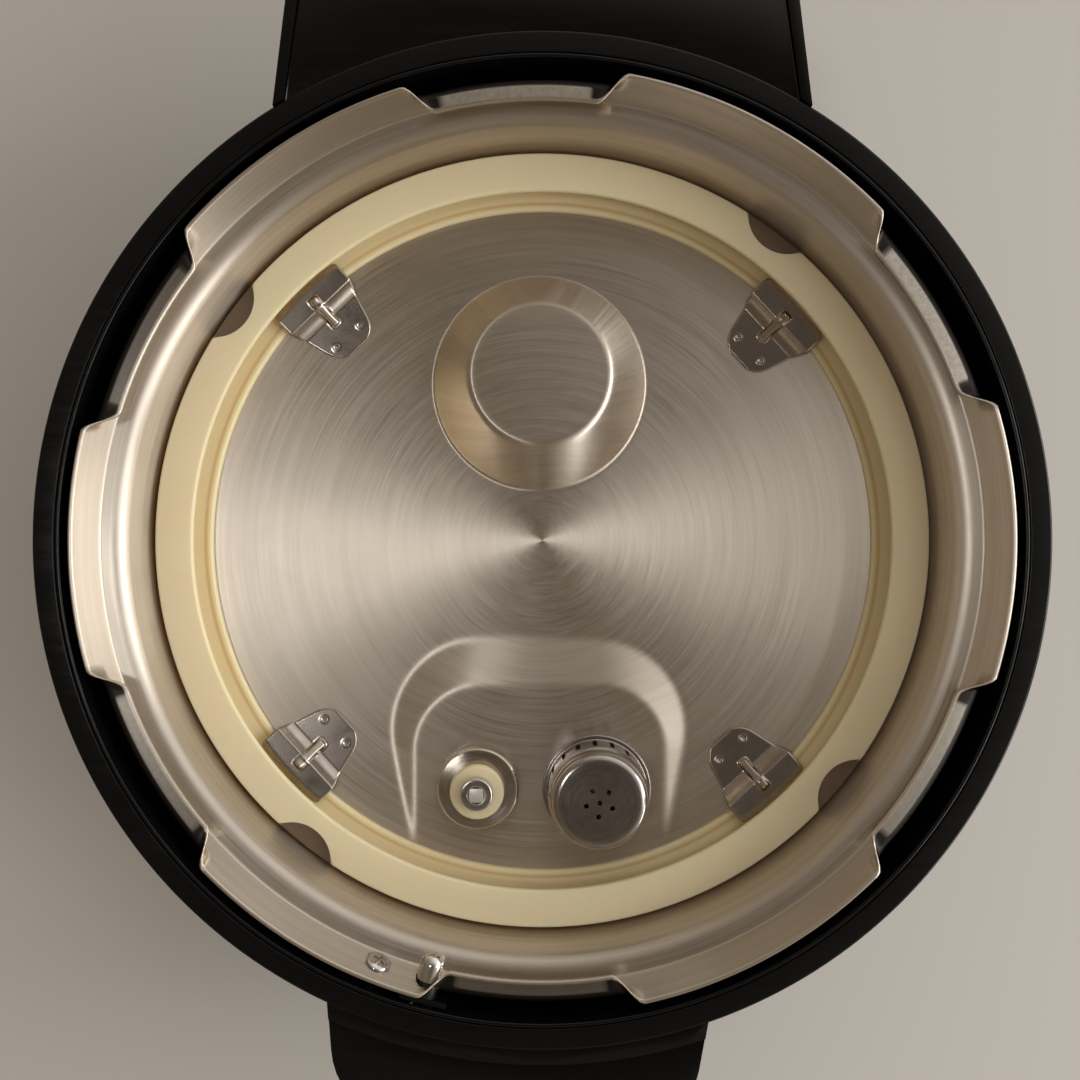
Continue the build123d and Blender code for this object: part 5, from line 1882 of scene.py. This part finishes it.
@dataclass
class FrameHardware:
    """Pieces that keep the frame's own solids and get their finish here."""

    silicone: tuple[str, ...] = ("float_washer", "vent_washer")
    plated: tuple[str, ...] = (
        "float_nut", "vent_nut", "lid_studs", "cover_screws", "handle_screws", "hood_screws", "grip_screws",
        "lock_spring",
    )
    steel: tuple[str, ...] = ("shield_spring",)
    polished: tuple[str, ...] = ("steam_weight",)
    plastic: tuple[str, ...] = ("slider_guide", "lock_slider")

    def dress(self, finishes: dict[str, bpy.types.Material]) -> None:
        """Puts each finish on its nodes.

        Args:
            finishes: Material of each group, by the group's name.
        """
        for group, material in finishes.items():
            for name in getattr(self, group):
                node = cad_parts[name]
                node.data.materials.clear()
                node.data.materials.append(material)
                log.info("%s keeps its solid", name)


@dataclass
class Studio:
    """Floor, light and camera. Lengths in millimetres."""

    camera_height: float = 405.0
    camera_x: float = -0.7
    camera_y: float = 0.1
    lens: float = 36.1
    sensor: float = 36.0
    floor_size: float = 6000.0
    floor_colour: Colour = (0.66, 0.64, 0.60)
    world_level: float = 1.6
    zenith: Colour = (0.20, 0.19, 0.178)
    slope: Colour = (0.75, 0.74, 0.73)
    left_side: Colour = (0.10, 0.074, 0.05)
    middle: Colour = (0.26, 0.218, 0.172)
    right_side: Colour = (0.9, 0.88, 0.85)
    bright_way: tuple[float, float] = (0.88, 0.47)
    lamplight: Colour = (1.0, 0.985, 0.965)
    daylight: Colour = (1.0, 0.985, 0.96)

    def floor(self) -> None:
        """Lays the plain pale floor."""
        half = self.floor_size / 2
        piece = prism(rectangle(-half, half, half), -20.0, -0.05).as_object("floor")
        sketch = Sketch("pale_floor")
        clouds = sketch.noise(sketch.coordinates, 3.0, 3.0)
        pale = self.floor_colour
        dull = (pale[0] * 0.96, pale[1] * 0.96, pale[2] * 0.955)
        sketch.set(Base_Color=sketch.mixed(clouds, dull, pale), Roughness=0.7, Specular_IOR_Level=0.2)
        piece.data.materials.append(sketch.material)

    @staticmethod
    def _ramp(nodes: bpy.types.Nodes, stops: Sequence[tuple[float, Colour]]) -> bpy.types.Node:
        """Colour ramp with three stops, each a position and a colour."""
        ramp = nodes.new("ShaderNodeValToRGB")
        elements = ramp.color_ramp.elements
        elements.new(0.5)
        for element, (position, colour) in zip(elements, stops):
            element.position = position
            element.color = (*colour, 1.0)
        return ramp

    def world(self) -> None:
        """Sets the soft light of the room: dimmer overhead than at the sides, and brightest at the upper right."""
        world = bpy.data.worlds.new("studio")
        bpy.context.scene.world = world
        world.use_nodes = True
        nodes, links = world.node_tree.nodes, world.node_tree.links
        back = nodes["Background"]
        spot = nodes.new("ShaderNodeTexCoord")
        split = nodes.new("ShaderNodeSeparateXYZ")
        links.new(spot.outputs["Generated"], split.inputs[0])
        height = self._ramp(nodes, ((0.0, (1.0, 1.0, 1.0)), (0.8, self.slope), (0.98, self.zenith)))
        links.new(split.outputs["Z"], height.inputs[0])
        turned = nodes.new("ShaderNodeVectorMath")
        turned.operation = "DOT_PRODUCT"
        turned.inputs[1].default_value = (*self.bright_way, 0.0)
        links.new(spot.outputs["Generated"], turned.inputs[0])
        across = nodes.new("ShaderNodeMapRange")
        across.inputs["From Min"].default_value = -1.0
        links.new(turned.outputs["Value"], across.inputs["Value"])
        side = self._ramp(nodes, ((0.0, self.left_side), (0.5, self.middle), (1.0, self.right_side)))
        links.new(across.outputs["Result"], side.inputs[0])
        product = nodes.new("ShaderNodeMix")
        product.data_type = "RGBA"
        product.blend_type = "MULTIPLY"
        product.inputs[0].default_value = 1.0
        links.new(height.outputs[0], product.inputs[6])
        links.new(side.outputs[0], product.inputs[7])
        links.new(product.outputs[2], back.inputs["Color"])
        back.inputs["Strength"].default_value = self.world_level

    def lamp(self, name: str, place: Corner, size: tuple[float, float], power: float, colour: Colour) -> None:
        """Sets one soft lamp that faces the lid.

        Args:
            name: Name of the lamp.
            place: Where it hangs, in millimetres.
            size: Its width and height in millimetres.
            power: Its power in watts.
            colour: Its colour.
        """
        data = bpy.data.lights.new(name, "AREA")
        data.shape = "RECTANGLE"
        data.size, data.size_y = size[0] * MM, size[1] * MM
        data.energy = power
        data.color = colour
        lamp = linked(name, data)
        lamp.location = [value * MM for value in place]
        lamp.rotation_euler = (-lamp.location).to_track_quat("-Z", "Y").to_euler()

    def camera(self) -> None:
        """Sets the camera straight above the lid."""
        data = bpy.data.cameras.new("camera")
        data.sensor_width = self.sensor
        data.sensor_fit = "HORIZONTAL"
        data.lens = self.lens
        data.clip_start = 0.01
        camera = linked("camera", data)
        camera.location = (self.camera_x * MM, self.camera_y * MM, self.camera_height * MM)
        bpy.context.scene.camera = camera

    def set_up(self) -> None:
        """Builds the whole stage."""
        bpy.context.scene.view_settings.view_transform = "Standard"
        self.floor()
        self.world()
        day = self.daylight
        self.lamp("ceiling", (-430.0, -48.0, 1500.0), (220.0, 220.0), 1.6, self.lamplight)
        self.lamp("window_high", (1120.0, -300.0, 1080.0), (420.0, 420.0), 1.6, day)
        self.lamp("window_right", (1500.0, 110.0, 690.0), (760.0, 560.0), 8.0, day)
        self.lamp("window_near", (1280.0, -760.0, 520.0), (560.0, 460.0), 5.0, day)
        self.camera()


def main() -> None:
    """Builds every sub-assembly, then the stage."""
    logging.basicConfig(level=logging.INFO, format="%(name)s: %(message)s")
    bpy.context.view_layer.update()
    spun = SpunSteel("spun_steel", rubbed_and_painted_light=True).build()
    clip_steel = PlainSteel("clip_steel", (0.44, 0.395, 0.35), (0.35, 0.31, 0.27), 0.17, 0.27, 120.0, 0.008).build()
    # Darker than the lid's steel, partly as painted reflection of the dark ceiling
    shield_steel = SpunSteel(
        "shield_steel", (0.46, 0.425, 0.405), (0.38, 0.35, 0.335), 0.14, 0.24, 2000.0, VENT, 0.3
    ).build()
    bush_steel = SpunSteel("bush_steel", smooth=0.14, rough=0.26, grain=2400.0, centre=FLOAT).build()
    polished = PlainSteel("polished_steel").build()
    plated = PlainSteel("plated_steel", (0.66, 0.64, 0.61), (0.40, 0.38, 0.35), 0.12, 0.3, 220.0).build()
    pin_steel = PlainSteel("pin_steel", (0.93, 0.91, 0.87), (0.80, 0.78, 0.74), 0.34, 0.48, 300.0).build()
    # Near-black steel that paints the shadow on the parts behind the skirt
    dark_steel = PlainSteel("dark_steel", (0.05, 0.048, 0.045), (0.03, 0.029, 0.028), 0.35, 0.5, 220.0).build()
    seal = Silicone("seal_silicone", painted_crease_radii=(107.0, 113.4)).build()
    float_seal = Silicone("float_silicone", low=40.0, high=60.0).build()
    gloss = MouldedPlastic("black_gloss_plastic").build()
    matte = MouldedPlastic("black_satin_plastic", smooth=0.32, rough=0.48, texture=0.05).build()
    copies, perforation = CopiesTree(), PerforationTree()
    lid = PressureLid()
    lid.make(spun)
    SealingRing().make(seal)
    SealClips().make(copies, clip_steel)
    AntiBlockShield().make(perforation, shield_steel)
    FloatValve().make({"bush": bush_steel, "seal": float_seal, "collar": polished, "pin": pin_steel})
    SteamValve().make(polished, matte)
    LockPin().make(lid.screw_place(), {"pin": polished, "screw": plated, "back": dark_steel})
    cover = OuterCover()
    cover.shell(gloss)
    cover.rear_panel(gloss)
    cover.front_ledge(gloss)
    cover.liner(gloss)
    cover.hood(gloss)
    cover.grip(gloss)
    CarryHandle().make(gloss)
    FrameHardware().dress(
        {"silicone": seal, "plated": plated, "steel": clip_steel, "polished": polished, "plastic": matte}
    )
    Studio().set_up()


if __name__ == "__main__":
    main()
